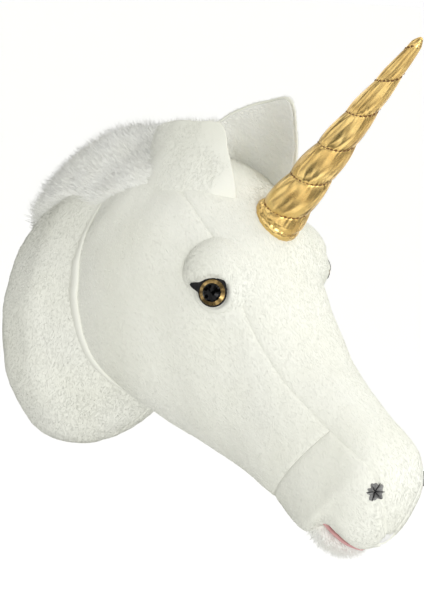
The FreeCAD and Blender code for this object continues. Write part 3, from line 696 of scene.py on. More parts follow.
# %% Stuffing cores
FILL_INSET = 6.0
COLLAR_FILL_ROWS, COLLAR_FILL_COLUMNS = 14, 48
fill_stations = station_rows(NET_STEP)
core = head_grid(fill_stations, NET_COUNTS, FILL_INSET)
core_piece = new_piece("head_fill", core, grid_quads(*core.shape[:2])
                       + [tuple(reversed(range(core.shape[1]))),
                          tuple(range((core.shape[0] - 1) * core.shape[1], core.shape[0] * core.shape[1]))],
                       FILL)
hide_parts("head_stuffing")
core = neck_grid(np.linspace(14, 126, COLLAR_FILL_ROWS), COLLAR_FILL_COLUMNS, FILL_INSET)
last_ring = range((COLLAR_FILL_ROWS - 1) * COLLAR_FILL_COLUMNS, COLLAR_FILL_ROWS * COLLAR_FILL_COLUMNS)
core_piece = new_piece("neck_fill", core, grid_quads(COLLAR_FILL_ROWS, COLLAR_FILL_COLUMNS)
                       + [tuple(reversed(range(COLLAR_FILL_COLUMNS))), tuple(last_ring)], FILL)
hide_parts("neck_stuffing")
print("fill lies this far inside the cloth, in mm:", FILL_INSET)

# %% [markdown]
# ## Tubes along a line
# The welt and the threads are all tubes that follow a line, so one function makes them. Its radius may change
# along the line and its section may be flattened against the surface below.


# %% Tube builder
def tube(line, facing, wide, tall, sides=12, lift=0.0):
    """A closed tube along a line; wide lies in the surface and tall stands out of it."""
    line = np.asarray(line, float)
    count = len(line)
    wide = np.broadcast_to(np.asarray(wide, float), (count,))
    tall = np.broadcast_to(np.asarray(tall, float), (count,))
    ahead = unit(np.gradient(line, axis=0))
    out = unit(facing - ahead * np.sum(ahead * facing, axis=1, keepdims=True))
    aside = np.cross(out, ahead)
    t = 2 * math.pi * np.arange(sides) / sides
    points = (line + out * lift)[:, None] + (np.cos(t)[None, :, None] * aside[:, None] * wide[:, None, None]
                                             + np.sin(t)[None, :, None] * out[:, None] * tall[:, None, None])
    faces = grid_quads(count, sides)
    faces.append(tuple(reversed(range(sides))))
    faces.append(tuple(range((count - 1) * sides, count * sides)))
    return points.reshape(-1, 3), faces


def resample(line, count):
    """Evenly spaced points along a line of points."""
    line = np.asarray(line, float)
    run = np.concatenate([[0], np.cumsum(np.linalg.norm(np.diff(line, axis=0), axis=1))])
    places = np.linspace(0, run[-1], count)
    return np.stack([np.interp(places, run, line[:, k]) for k in range(line.shape[1])], axis=1)


print("helpers made:", "tube, resample")

# %% [markdown]
# ## The welt behind the cheek
# Where the head is sewn into the collar, a stuffed fold of cloth stands up along the cheek and fades out
# towards the mane. A flattened tube along the measured line makes it, and the left one is its mirror image.

# %% Cheek welts
WELT_POINTS, WELT_SIDES = 90, 14
both = resample(np.hstack([right_line, right_facing]), WELT_POINTS)
welt_line, welt_facing = both[:, :3], unit(both[:, 3:])
share = np.linspace(0, 1, WELT_POINTS)
welt_body = np.clip((share - 0.18) / 0.25, 0, 1) * np.clip((1.02 - share) / 0.12, 0.1, 1)
welt_wide, welt_tall = 1.2 + 3.6 * welt_body, 0.8 + 2.0 * welt_body
mirror = np.array([-1.0, 1.0, 1.0])
for side, flip in (("right", np.ones(3)), ("left", mirror)):
    points, faces = tube(welt_line * flip, welt_facing * flip, welt_wide, welt_tall, WELT_SIDES, 0.4)
    piece = new_piece("cheek_welt_%s_cloth" % side, points, faces, PLUSH)
    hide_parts("cheek_welt_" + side)
print("widest half of the welt, in mm:", round(float(welt_wide.max()), 1))

# %% [markdown]
# ## Eyes
# A domed lid of plush stands round each eye, thick above it and fading out below. The eye itself keeps its
# CAD shape: a gold ring and a black dome on a shank. A black felt with a scalloped upper edge makes the
# lashes.


# %% Eye places
def eye_axes(sign):
    """Centre of the eye's seat, and its forward, upward and outward directions."""
    centre = on_head(sign * 62.0, 180.0, 119.0)
    out = unit(sign * 0.86 * ACROSS + 0.44 * RISE + 0.16 * ALONG)
    ahead = unit(ALONG - out * (ALONG @ out))
    up = np.cross(out, ahead) * (1.0 if sign < 0 else -1.0)
    up = up if up @ RISE > 0 else -up
    return centre + out * 8.0, ahead, up, out


print("right eye seat:", eye_axes(-1.0)[0].round(1))

# %% [markdown]
# ## How high the head stands
# A lid has to lie on the head all the way round its edge. The height of the head under each of its points
# is found by stepping inwards until the point is inside the slices.


# %% Head below the lids
def head_ground(points, out):
    """How high each point stands over the head's cover, against the out direction."""
    depths = np.linspace(-14, 34, 97)
    probes = points[:, None] - out * depths[None, :, None]
    s, n = probes @ ALONG, probes @ RISE
    low, high, middle, half, above, below = np.moveaxis(head_slice(s.ravel()).reshape(*s.shape, 6), -1, 0)
    tall = np.where(n > middle, high - middle, middle - low)
    power = np.where(n > middle, above, below)
    inside = (abs(probes[..., 0]) / half) ** power + (abs(n - middle) / tall) ** power < 1.0
    return depths[np.argmax(inside, axis=1)]


print("helpers made:", "head_ground")

# %% [markdown]
# ## Lids
# The lid is a disc of rings and spokes laid on the head. A thick brow rises above and in front of the eye,
# a thin fold runs below it, and a round hollow in the middle leaves room for the eye.

# %% Lids
LID_RINGS, LID_SPOKES = 44, 128
LID_MIDDLE = (-7.0, 9.0)
LID_REACH = 30.0
BROW_TALL = 11.0
FRONT_RISE = {"right": 1.05, "left": 1.35}
EYE_HOLLOW = 12.8
LID_SKIRT = 8.0
LIDS = {}
for side, sign in (("right", -1.0), ("left", 1.0)):
    seat, ahead, up, out = eye_axes(sign)
    r = np.linspace(0, 1, LID_RINGS + 1)[:, None]
    t = (2 * math.pi * np.arange(LID_SPOKES) / LID_SPOKES)[None]
    reach = LID_REACH + 3.0 * np.cos(t - 1.9)
    a, b = r * reach * np.cos(t) + LID_MIDDLE[0], r * reach * np.sin(t) + LID_MIDDLE[1]
    flat = seat + a[..., None] * ahead + b[..., None] * up
    ground = -head_ground(flat.reshape(-1, 3), out).reshape(a.shape)
    skyward, forward = 0.65 * b - 0.81 * a, 0.894 * a + 0.618 * b
    over = 1.0 / (1.0 + np.exp(-(skyward - 8.0) / 3.0))
    front = 1.0 / (1.0 + np.exp(-(forward - 11.0) / 3.5))
    behind = 1.0 / (1.0 + np.exp(forward / 5.0 - 0.5))
    fade = np.maximum(0.0, 1.0 - r**2)
    brow = BROW_TALL * fade ** (1.5 - 0.9 * behind) * np.maximum(over, FRONT_RISE[side] * front)
    fold = 2.6 * np.exp(-((np.hypot(a, b) - 14.0) / 3.0) ** 2) * (1 - over)
    hollow = np.exp(-(np.hypot(a, b * 1.05) / EYE_HOLLOW) ** 6)
    height = ground - 2.0 * (r**6) + 0.8 * fade + brow + fold
    height = height * (1 - hollow) + np.minimum(height, -1.4) * hollow
    points = (flat + out * height[..., None]).reshape(-1, 3)
    faces = grid_quads(LID_RINGS + 1, LID_SPOKES)
    base = np.arange(LID_SPOKES) + LID_RINGS * LID_SPOKES
    under = points[base] - out * LID_SKIRT
    points = np.concatenate([points, under])
    start = (LID_RINGS + 1) * LID_SPOKES
    faces += [(LID_RINGS * LID_SPOKES + i, LID_RINGS * LID_SPOKES + (i + 1) % LID_SPOKES,
               start + (i + 1) % LID_SPOKES, start + i) for i in range(LID_SPOKES)]
    faces.append(tuple(start + i for i in range(LID_SPOKES)))
    lid = points[:start].reshape(LID_RINGS + 1, LID_SPOKES, 3)
    LIDS[side] = (lid, grid_normals(lid), out, hollow)
    piece = new_piece("brow_pad_%s_cloth" % side, points, faces, PLUSH)
    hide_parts("brow_pad_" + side)
print("lids:", len(LIDS))

# %% [markdown]
# ## Lashes
# A black felt under each eye shows as a thin dark line, with scallops for lashes above and a longer point
# at the back corner. It is drawn as one outline and given the thickness of felt.

# %% Lash felts
LASH_POINTS = 120
FELT_REACH = 11.1
LASH_MIDDLE = 0.785 * math.pi
LASH_WING = 1.17 * math.pi
for side, sign in (("right", -1.0), ("left", 1.0)):
    seat, ahead, up, out = eye_axes(sign)
    outline = []
    for i in range(LASH_POINTS):
        t = 2 * math.pi * i / LASH_POINTS
        reach = FELT_REACH
        above = math.cos(t - LASH_MIDDLE)
        if above > 0.1:
            reach += 1.5 * abs(math.sin(5.0 * t)) * above + 0.9 * above
        reach += 7.5 * math.exp(-((t - LASH_WING) / 0.20) ** 2)
        outline.append((reach * math.cos(t), reach * math.sin(t)))
    top = [seat + ahead * a + up * b + out * (0.15 - 0.05 * max(0.0, math.hypot(a, b) - 11.9))
           for a, b in outline]
    low = [p - out * 1.0 for p in top]
    points = np.array(top + low + [seat + out * 0.2, seat - out * 0.9])
    steps = [(i, (i + 1) % LASH_POINTS) for i in range(LASH_POINTS)]
    faces = [(a, b, 2 * LASH_POINTS) for a, b in steps]
    faces += [(b + LASH_POINTS, a + LASH_POINTS, 2 * LASH_POINTS + 1) for a, b in steps]
    faces += [(a + LASH_POINTS, b + LASH_POINTS, b, a) for a, b in steps]
    piece = new_piece("eye_liner_%s_felt" % side, points, faces, BLACK_FELT, smooth=False)
    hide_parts("eye_liner_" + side)
print("lash felts:", 2)


# %% [markdown]
# ## Pile from strands
# Long pile is thousands of thin tapered fibres. Each one here is a closed three-sided spike, bent a little
# by its own random draw. The draw is seeded, so the pile is the same on every run. One function grows the
# spikes, one scatters their roots evenly over a cloth, and one makes a single piece of them.


# %% Strand builder
def strands(roots, normals, combs, lengths, width, bend, segments, rng):
    """Tapered three-sided strands; each leans from its normal towards its comb."""
    count = len(roots)
    direction = unit(normals + combs)
    aside = unit(np.cross(direction, unit(rng.normal(size=(count, 3)))))
    across = np.cross(direction, aside)
    curl = unit(combs + rng.normal(size=(count, 3)) * 0.35)
    corners = [(math.cos(t), math.sin(t)) for t in (0.0, 2.1, 4.2)]
    rows = []
    for k in range(segments):
        f = k / segments
        spine = roots + direction * (lengths * f)[:, None] + curl * (lengths * bend * f * f)[:, None]
        thick = width * 0.5 * (1 - f) ** 0.6
        rows += [spine + aside * (c * thick) + across * (s * thick) for c, s in corners]
    rows.append(roots + direction * lengths[:, None] + curl * (lengths * bend)[:, None])
    points = np.stack(rows, axis=1)
    per = points.shape[1]
    one = []
    for k in range(segments - 1):
        for c in range(3):
            d = (c + 1) % 3
            one += [(3 * k + c, 3 * k + d, 3 * k + 3 + d), (3 * k + c, 3 * k + 3 + d, 3 * k + 3 + c)]
    top = 3 * segments
    one += [(top - 3 + c, top - 3 + (c + 1) % 3, top) for c in range(3)]
    faces = (np.arange(count)[:, None, None] * per + np.array(one)[None]).reshape(-1, 3)
    return points.reshape(-1, 3), faces


def scatter(points, normals, quads, count, rng, keep=None):
    """Random places on a mesh, even by area, with their normals."""
    quads = np.array([q for q in quads if len(q) == 4])
    triangles = np.concatenate([quads[:, [0, 1, 2]], quads[:, [0, 2, 3]]])
    if keep is not None:
        triangles = triangles[keep(points[triangles].mean(axis=1))]
    corner = points[triangles]
    area = np.linalg.norm(np.cross(corner[:, 1] - corner[:, 0], corner[:, 2] - corner[:, 0]), axis=1)
    pick = rng.choice(len(triangles), size=count, p=area / area.sum())
    a, b = rng.random(count), rng.random(count)
    over = a + b > 1
    a[over], b[over] = 1 - a[over], 1 - b[over]
    weights = np.stack([1 - a - b, a, b], axis=1)[..., None]
    return (corner[pick] * weights).sum(axis=1), unit((normals[triangles[pick]] * weights).sum(axis=1))


def new_pile(name, points, triangles, material, body="head"):
    """Many small triangles as one piece. The fibres are so fine that they let the light through."""
    mesh = bpy.data.meshes.new(name)
    mesh.vertices.add(len(points))
    mesh.loops.add(triangles.size)
    mesh.polygons.add(len(triangles))
    mesh.vertices.foreach_set("co", ((points + LIFT) * MM).astype(np.float32).ravel())
    mesh.polygons.foreach_set("loop_start", np.arange(0, triangles.size, 3, dtype=np.int32))
    mesh.loops.foreach_set("vertex_index", triangles.astype(np.int32).ravel())
    mesh.update(calc_edges=True)
    mesh.polygons.foreach_set("use_smooth", [True] * len(triangles))
    mesh.materials.append(material)
    piece = bpy.data.objects.new(name, mesh)
    bpy.context.collection.objects.link(piece)
    piece.visible_shadow = False
    piece.visible_diffuse = False
    if body:
        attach(piece, body)
    return piece


print("helpers made:", "strands, scatter, new_pile")

# %% [markdown]
# ## The mane
# The mane is a strip of long pile cloth over the poll and the collar. Its base follows what lies below it,
# so that height is measured first and a crown is added. Where the mane reaches the wall, its fibres are
# pressed flat.


# %% Mane
MANE_ROWS, MANE_COLUMNS = 56, 56
MANE_TABLE = [(0, 45, 12), (20, 48, 14), (44, 51, 13), (70, 54, 10), (100, 56, 8), (130, 50, 7), (152, 30, 4)]


def inside_head(places):
    """True inside the head's cover."""
    s, n = places @ ALONG, places @ RISE
    low, high, middle, half, above, below = np.moveaxis(head_slice(s.ravel()).reshape(*s.shape, 6), -1, 0)
    tall = np.where(n > middle, high - middle, middle - low)
    power = np.where(n > middle, above, below)
    return ((abs(places[..., 0]) / half) ** power + (abs(n - middle) / tall) ** power < 1.0) & (s > -20)


def top_ground(x, out):
    """The height of the cover under each place of the mane."""
    heights = np.linspace(185.0, 40.0, 291)
    places = on_neck(x[..., None] + 0 * heights, heights + 0 * x[..., None], out[..., None] + 0 * heights)
    solid = inside_head(places) | (inside_neck(places) < 1.0)
    return heights[np.argmax(solid, axis=-1)]


outs = np.linspace(1.0, 150.0, MANE_ROWS)
wide, crown = curve_through(MANE_TABLE, outs).T
across = np.linspace(-1, 1, MANE_COLUMNS)
x = wide[:, None] * across[None]
out_grid = outs[:, None] + 0 * x
swollen = crown[:, None] * (1 - across[None] ** 2)
end_fade = np.clip(np.minimum(outs / 5.0, (151 - outs) / 18.0), 0.1, 1.0) ** 0.5
ground = top_ground(x, out_grid) - 1.0
for _ in range(3):
    ground[1:-1] = (ground[:-2] + ground[1:-1] * 2 + ground[2:]) / 4
mane_points = on_neck(x, ground + swollen * end_fade[:, None], out_grid)
mane_normals = -grid_normals(mane_points, wrap=False)
if mane_normals[MANE_ROWS // 2, MANE_COLUMNS // 2, 2] < 0:
    mane_normals = -mane_normals
mane_quads = grid_quads(MANE_ROWS, MANE_COLUMNS, wrap=False)
points, faces = layer(mane_points.reshape(-1, 3), mane_quads, mane_normals.reshape(-1, 3), 3.0)
mane_strip = new_piece("mane_cloth", points, faces, LONG_PILE)
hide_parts("mane")
print("mane strip rows and columns:", MANE_ROWS, MANE_COLUMNS)

# %% [markdown]
# ## The mane's pile
# The strip's own strands are long and comb back towards the wall. None may pass through the wall.

# %% Mane pile
WALL_GAP = 0.3
MANE_STRANDS = 26000
rng = np.random.default_rng(21)
roots, ups = scatter(mane_points.reshape(-1, 3), mane_normals.reshape(-1, 3), mane_quads, MANE_STRANDS, rng)
combs = np.array([0.0, 0.55, 0.05]) + rng.normal(size=(MANE_STRANDS, 3)) * 0.26
lengths = 9.0 + 7.0 * rng.random(MANE_STRANDS) ** 1.5
points, faces = strands(roots - ups * 0.5, ups, combs, lengths, 0.7, 0.25, 3, rng)
points[:, 1] = np.minimum(points[:, 1], -WALL_GAP)
new_pile("mane_pile", points, faces, LONG_PILE)
print("mane strands:", MANE_STRANDS)

# %% [markdown]
# ## Ears
# Each ear is a leaf of plush lined with longer pile. The leaf is bent round a drum so that it cups, and its
# foot narrows where it is sewn.


# %% Ears
EAR_TURN = {-1.0: -12.0, 1.0: 12.0}


def ear_axes(sign):
    """Foot of the ear, its length, width and outward directions."""
    foot = on_head(sign * 52.0, 184.0, 29.0)
    lean, turn = math.radians(8.0), math.radians(EAR_TURN[sign])
    up = unit(-sign * math.sin(lean) * ACROSS + math.cos(lean) * RISE - 0.06 * ALONG)
    outward = np.array([sign * math.cos(turn), math.sin(turn), 0.0])
    width = unit(np.cross(outward, up))
    return foot, up, width, np.cross(up, width)


EAR_LEAF = [(-0.34, 0.26), (-0.16, 0.38), (0.0, 0.45), (0.12, 0.49), (0.28, 0.50), (0.50, 0.42), (0.72, 0.27),
            (0.88, 0.13), (0.96, 0.07), (1.0, 0.02)]
EAR_BEND = [(-0.34, 20.0), (-0.16, 23.0), (0.0, 30.0), (0.25, 46.0), (0.6, 62.0), (1.0, 70.0)]
EAR_WIDE = {-1.0: 108.0, 1.0: 98.0}
EAR_TALL = {-1.0: 78.0, 1.0: 99.0}
EAR_ROWS, EAR_COLUMNS = 56, 44
EAR_FIRST = EAR_LEAF[0][0]
TIP_LEAN = 6.0


def ear_sheet(sign, sink, scale):
    """Grid of the ear's leaf, sunk below the outer face and scaled about its foot."""
    foot, up, width, outward = ear_axes(sign)
    v = np.linspace(EAR_FIRST, 1.0, EAR_ROWS)
    half = curve_through(EAR_LEAF, v)[:, 0] * EAR_WIDE[sign] * scale
    bend = curve_through(EAR_BEND, v)[:, 0] * EAR_WIDE[sign] / EAR_WIDE[1.0]
    t = np.linspace(-1, 1, EAR_COLUMNS)[None]
    phi = t * (half / bend)[:, None]
    radius = bend[:, None] - sink
    x = radius * np.sin(phi)
    y = radius * np.cos(phi) - bend[:, None] - TIP_LEAN * (np.clip(v, 0, 1)[:, None] ** 2)
    z = np.broadcast_to((np.where(v > 0, v * scale + 0.02, v) * EAR_TALL[sign])[:, None], x.shape)
    points = foot + x[..., None] * width + y[..., None] * outward + z[..., None] * up
    normals = grid_normals(points, wrap=False)
    if normals[EAR_ROWS // 2, EAR_COLUMNS // 2] @ outward < 0:
        normals = -normals
    return points, normals


print("ear leaf rows and columns:", EAR_ROWS, EAR_COLUMNS)

# %% [markdown]
# ## Sewing the ears
# Each ear gets an outer leaf, a lining inside it and the lining's pile.

# %% Ear leaves
LINING_SINK, LINING_SCALE = 2.0, 0.98
OUTER_DEPTH, LINING_DEPTH = 1.9, 1.6
LINING_STRANDS = 9000
EAR_HOLD, EAR_FREE = 4.0, 26.0
EAR_COVERS = {}
for side, sign in (("right", -1.0), ("left", 1.0)):
    foot, up, width, outward = ear_axes(sign)
    quads = grid_quads(EAR_ROWS, EAR_COLUMNS, wrap=False)
    points, normals = ear_sheet(sign, 0.0, 1.0)
    points = points + normals * (0.7 * ripple(points, 34.0, 31))[..., None]
    solid, faces = layer(points.reshape(-1, 3), quads, normals.reshape(-1, 3), OUTER_DEPTH)
    outer = new_piece("ear_outer_%s_cloth" % side, solid, faces, PLUSH, body=None)
    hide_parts("ear_outer_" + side)
    points, normals = ear_sheet(sign, LINING_SINK, LINING_SCALE)
    solid, faces = layer(points.reshape(-1, 3), quads, normals.reshape(-1, 3), LINING_DEPTH)
    inner = new_piece("ear_inner_%s_cloth" % side, solid, faces, LONG_PILE, body=None)
    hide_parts("ear_inner_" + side)
    rng = np.random.default_rng(41 + int(sign))
    under, facing = points.reshape(-1, 3), normals.reshape(-1, 3)
    roots, ups = scatter(under - facing * LINING_DEPTH, -facing, quads, LINING_STRANDS, rng)
    combs = unit(width * 0.9 + up * 0.5) * 1.6 + rng.normal(size=(LINING_STRANDS, 3)) * 0.3
    lengths = 4.0 + 3.0 * rng.random(LINING_STRANDS)
    hair, hair_faces = strands(roots, ups, combs, lengths, 0.5, 0.2, 2, rng)
    pile = new_pile("ear_pile_" + side, hair, hair_faces, LONG_PILE, body=None)
    start, end = place_at(foot - up * EAR_HOLD), place_at(foot + up * EAR_FREE)
    for piece in (outer, inner, pile):
        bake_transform(piece)
    EAR_COVERS[side] = ear_sheet(sign, 0.0, 1.0)
print("ears:", sorted(EAR_COVERS))

# %% [markdown]
# ## The horn
# Gold satin is sewn round a stuffed cone and a thread winds up it, so the cloth swells between the turns.
# The radius is the cone's, plus a swelling that falls to nothing at the thread, plus the small drag folds
# that the thread pulls.


# %% Horn shape
HORN_FOOT = on_head(0.0, 218.5, 94.0)
HORN_TIP = on_head(0.0, 422.5, 92.9)
HORN_UP = unit(HORN_TIP - HORN_FOOT)
HORN_SIDE = ACROSS
HORN_BACK = np.cross(HORN_UP, HORN_SIDE)
HORN_TALL = float(np.linalg.norm(HORN_TIP - HORN_FOOT))
TURN_RISE = 35.5
TURN_START = 0.99
HORN_GIRTH = [(0, 19.4), (14, 19.6), (50, 16.8), (85, 14.2), (125, 11.0), (170, 7.2), (206, 3.6)]


def horn_cone(z):
    """Radius of the swollen cone at each height."""
    heights, girths = zip(*HORN_GIRTH)
    return np.interp(z, heights, girths)


def horn_point(z, turn, radius):
    """A point on the horn in wall coordinates."""
    return (HORN_FOOT + z[..., None] * HORN_UP + (radius * np.cos(turn))[..., None] * HORN_SIDE
            + (radius * np.sin(turn))[..., None] * HORN_BACK)


def horn_phase(z, turn):
    """Share of the way from one turn of the thread to the next."""
    return (z / TURN_RISE - turn / (2 * math.pi) + TURN_START) % 1.0


print("horn height in mm:", round(HORN_TALL, 1))

# %% [markdown]
# ## The swollen cone
# Between two turns of the thread the cloth puffs out; at the thread it is drawn in, with small folds
# running away from it. Both are functions of the share of the way from one turn to the next.

# %% Horn cover points
HORN_ROWS, HORN_COLUMNS = 330, 96
COVER_FOOT, CLOSE_OVER, OPEN_OVER = 9.0, 7.0, 5.0
THREAD_SHARE = 0.83
z = np.linspace(COVER_FOOT, HORN_TALL, HORN_ROWS)[:, None] * np.ones((1, HORN_COLUMNS))
turn = (2 * math.pi * np.arange(HORN_COLUMNS) / HORN_COLUMNS)[None] * np.ones((HORN_ROWS, 1))
phase = horn_phase(z, turn)
cone = horn_cone(z)
puff = np.sin(math.pi * phase**0.85) ** 0.6
close = np.clip((HORN_TALL - z) / CLOSE_OVER, 0, 1) ** 0.5
open_foot = np.clip((z - COVER_FOOT) / OPEN_OVER, 0, 1) ** 0.5
radius = cone * (THREAD_SHARE + (1 - THREAD_SHARE) * puff) * (0.12 + 0.88 * close) * (0.94 + 0.06 * open_foot)
folds = np.sin(turn * 19 + 5 * np.sin(z / 11.0) + 2 * np.sin(turn * 3))
folds = folds * np.exp(-np.minimum(phase, 1 - phase) * 6)
radius += 0.016 * cone * folds + 0.028 * cone * ripple(
    np.stack([np.cos(turn) * 18, np.sin(turn) * 18, z], axis=-1), 26.0, 51)
horn_points = horn_point(z, turn, radius)
faces = grid_quads(HORN_ROWS, HORN_COLUMNS)
faces.append(tuple(reversed(range(HORN_COLUMNS))))
faces.append(tuple(range((HORN_ROWS - 1) * HORN_COLUMNS, HORN_ROWS * HORN_COLUMNS)))
print("horn cover faces:", len(faces))

# %% [markdown]
# ## Gold satin
# The cloth is satin with a thin gold coat. It is a metal in the shader, with soft patches of a paler and a
# deeper gold that also change its gloss, and a very fine weave.


# %% Gold satin
def gold_satin():
    """Coated satin: gold with a fine weave, brushed folds and uneven gloss."""
    material, shader = plain_shader("gold satin", (0.80, 0.50, 0.13), 0.30, 0.9)
    nodes, links = material.node_tree.nodes, material.node_tree.links
    where = nodes.new("ShaderNodeTexCoord")
    folds = nodes.new("ShaderNodeTexNoise")
    folds.inputs["Scale"].default_value = 60.0
    folds.inputs["Detail"].default_value = 5.0
    weave = nodes.new("ShaderNodeTexNoise")
    weave.inputs["Scale"].default_value = 1600.0
    mix = nodes.new("ShaderNodeMix")
    mix.data_type = "RGBA"
    mix.inputs["A"].default_value = (0.90, 0.68, 0.28, 1.0)
    mix.inputs["B"].default_value = (0.55, 0.32, 0.08, 1.0)
    gloss = nodes.new("ShaderNodeMapRange")
    gloss.inputs["To Min"].default_value = 0.14
    gloss.inputs["To Max"].default_value = 0.34
    height = nodes.new("ShaderNodeMath")
    height.operation = "ADD"
    bump = nodes.new("ShaderNodeBump")
    bump.inputs["Strength"].default_value = 0.06
    bump.inputs["Distance"].default_value = 0.0004
    links.new(where.outputs["Object"], folds.inputs["Vector"])
    links.new(where.outputs["Object"], weave.inputs["Vector"])
    links.new(folds.outputs["Fac"], mix.inputs["Factor"])
    links.new(mix.outputs["Result"], shader.inputs["Base Color"])
    links.new(folds.outputs["Fac"], gloss.inputs["Value"])
    links.new(gloss.outputs["Result"], shader.inputs["Roughness"])
    links.new(folds.outputs["Fac"], height.inputs[0])
    links.new(weave.outputs["Fac"], height.inputs[1])
    links.new(height.outputs["Value"], bump.inputs["Height"])
    links.new(bump.outputs["Normal"], shader.inputs["Normal"])
    return material


GOLD = gold_satin()
THREAD = cloth_material("horn thread", (0.30, 0.16, 0.06), (0.16, 0.08, 0.03), 0.7, 0.1, 300, 2500, 0.5)
horn = new_piece("horn_cover_satin", horn_points, faces, GOLD, body=None)
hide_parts("horn_cover")
print("horn finishes:", GOLD.name, "and", THREAD.name)

# %% [markdown]
# ## The rolled foot
# The satin is turned under at the foot of the horn, which makes a soft ring. It is a ring-shaped tube, a
# little uneven round its edge.

# %% Horn roll
ROLL_COLUMNS, ROLL_SIDES = 96, 20
ROLL_RADIUS, ROLL_THICK, ROLL_HIGH = 13.4, 6.6, 6.4
turn = (2 * math.pi * np.arange(ROLL_COLUMNS) / ROLL_COLUMNS)[:, None]
side = (2 * math.pi * np.arange(ROLL_SIDES) / ROLL_SIDES)[None]
gather = 1.0 + 0.020 * np.sin(turn * 17) + 0.015 * np.sin(turn * 29 + 1.0)
radius = ROLL_RADIUS + ROLL_THICK * gather * np.cos(side)
height = ROLL_HIGH + ROLL_THICK * gather * np.sin(side) + 1.5 * np.cos(turn - 2.2)
roll_points = horn_point(height, turn + 0 * side, radius)
roll_faces = []
for a in range(ROLL_COLUMNS):
    here, there = a * ROLL_SIDES, ((a + 1) % ROLL_COLUMNS) * ROLL_SIDES
    for b in range(ROLL_SIDES):
        after = (b + 1) % ROLL_SIDES
        roll_faces.append((here + b, there + b, there + after, here + after))
roll = new_piece("horn_roll_satin", roll_points, roll_faces, GOLD, body=None)
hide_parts("horn_roll")
print("roll faces:", len(roll_faces))

# %% [markdown]
# ## What fills the horn
# The horn is packed with the same fill as the head. A plain tapered core inside the satin stands for it.

# %% Horn fill
CORE_COLUMNS, CORE_SHARE = 24, 0.66
core = [(10.0, 9.0), (14.0, 12.6)] + [(z, float(horn_cone(z)) * CORE_SHARE) for z in range(24, 186, 18)]
core_z = np.array([c[0] for c in core])[:, None] * np.ones((1, CORE_COLUMNS))
core_r = np.array([c[1] for c in core])[:, None] * np.ones((1, CORE_COLUMNS))
core_turn = (2 * math.pi * np.arange(CORE_COLUMNS) / CORE_COLUMNS)[None] * np.ones((len(core), 1))
core_last = range((len(core) - 1) * CORE_COLUMNS, len(core) * CORE_COLUMNS)
horn_fill = new_piece("horn_fill", horn_point(core_z, core_turn, core_r), grid_quads(len(core), CORE_COLUMNS)
                      + [tuple(reversed(range(CORE_COLUMNS))), tuple(core_last)],
                      FILL, body=None)
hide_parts("horn_stuffing")
print("fill rings in the horn:", len(core))

# %% [markdown]
# ## The winding thread
# Each stitch is a short arched tube on the winding line, with a small gap before the next. The line's rise
# for each stitch follows from the horn's girth there, so all stitches are equally long.

# %% Horn thread
STITCH, GAP = 2.3, 1.5
THREAD_FIRST, THREAD_END = 14.0, 9.0
THREAD_SINK = 0.84
thread_points, thread_faces = [], []
z_run = THREAD_FIRST
while z_run < HORN_TALL - THREAD_END:
    reach = float(horn_cone(np.array(z_run)))
    around = math.hypot(2 * math.pi * reach, TURN_RISE)
    rise = (STITCH + GAP) * TURN_RISE / around
    heights = np.linspace(z_run, z_run + rise * STITCH / (STITCH + GAP), 5)
    angles = 2 * math.pi * (heights / TURN_RISE + TURN_START)
    arch = np.array([-0.2, 0.35, 0.5, 0.35, -0.2])
    line = horn_point(heights, angles, horn_cone(heights) * THREAD_SINK + arch)
    facing = unit(line - (HORN_FOOT + heights[:, None] * HORN_UP))
    points, faces = tube(line, facing, 0.55, 0.5, 6)
    offset = sum(len(p) for p in thread_points)
    thread_points.append(points)
    thread_faces += [tuple(i + offset for i in f) for f in faces]
    z_run += rise
thread = new_piece("horn_stitching_thread", np.concatenate(thread_points), thread_faces, THREAD,
                   body=None)
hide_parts("horn_stitching")
for piece in (horn, roll, thread, horn_fill):
    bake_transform(piece)
print("horn stitches:", len(thread_points))

# %% [markdown]
# ## Mouth
# The mouth is a slit lined with pink felt over a small fluffy lower lip. The lip is a round roll of long
# pile cloth, and the felt lies on it as a thin flat tongue.

# %% Lower lip
LIP_ROWS, LIP_COLUMNS, LIP_STRANDS = 34, 64, 5000
lip_middle = on_head(0.0, 92.5, 297.0)
t = np.linspace(0, 2 * math.pi, LIP_COLUMNS, endpoint=False)[None]
p = np.linspace(-math.pi / 2, math.pi / 2, LIP_ROWS)[:, None]
lip_x = 27.0 * np.cos(p) * np.cos(t)
lip_s = 25.0 * np.cos(p) * np.sin(t)
lip_n = np.where(p > 0, 13.0, 15.0) * np.sin(p) + 0 * t
lip_points = lip_middle + lip_x[..., None] * ACROSS + lip_n[..., None] * RISE + lip_s[..., None] * ALONG
lip_normals = unit(lip_points - lip_middle)
lip_points += lip_normals * (0.7 * ripple(lip_points, 20.0, 61))[..., None]
lip_quads = grid_quads(LIP_ROWS, LIP_COLUMNS)
lip = new_piece("lower_lip_cloth", lip_points, lip_quads, LONG_PILE)
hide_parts("lower_lip")
rng = np.random.default_rng(71)
roots, ups = scatter(lip_points.reshape(-1, 3), lip_normals.reshape(-1, 3), lip_quads, LIP_STRANDS, rng)
combs = ALONG * 0.5 + rng.normal(size=(LIP_STRANDS, 3)) * 0.3
lengths = 3.0 + 3.5 * rng.random(LIP_STRANDS)
hair, hair_faces = strands(roots, ups, combs, lengths, 0.5, 0.2, 2, rng)
new_pile("lower_lip_pile", hair, hair_faces, LONG_PILE)
print("lip strands:", LIP_STRANDS)

# %% [markdown]
# ## Mouth lining
# The pink felt is a thin flat tongue between the upper muzzle and the lip. It narrows with the head's own
# slices.

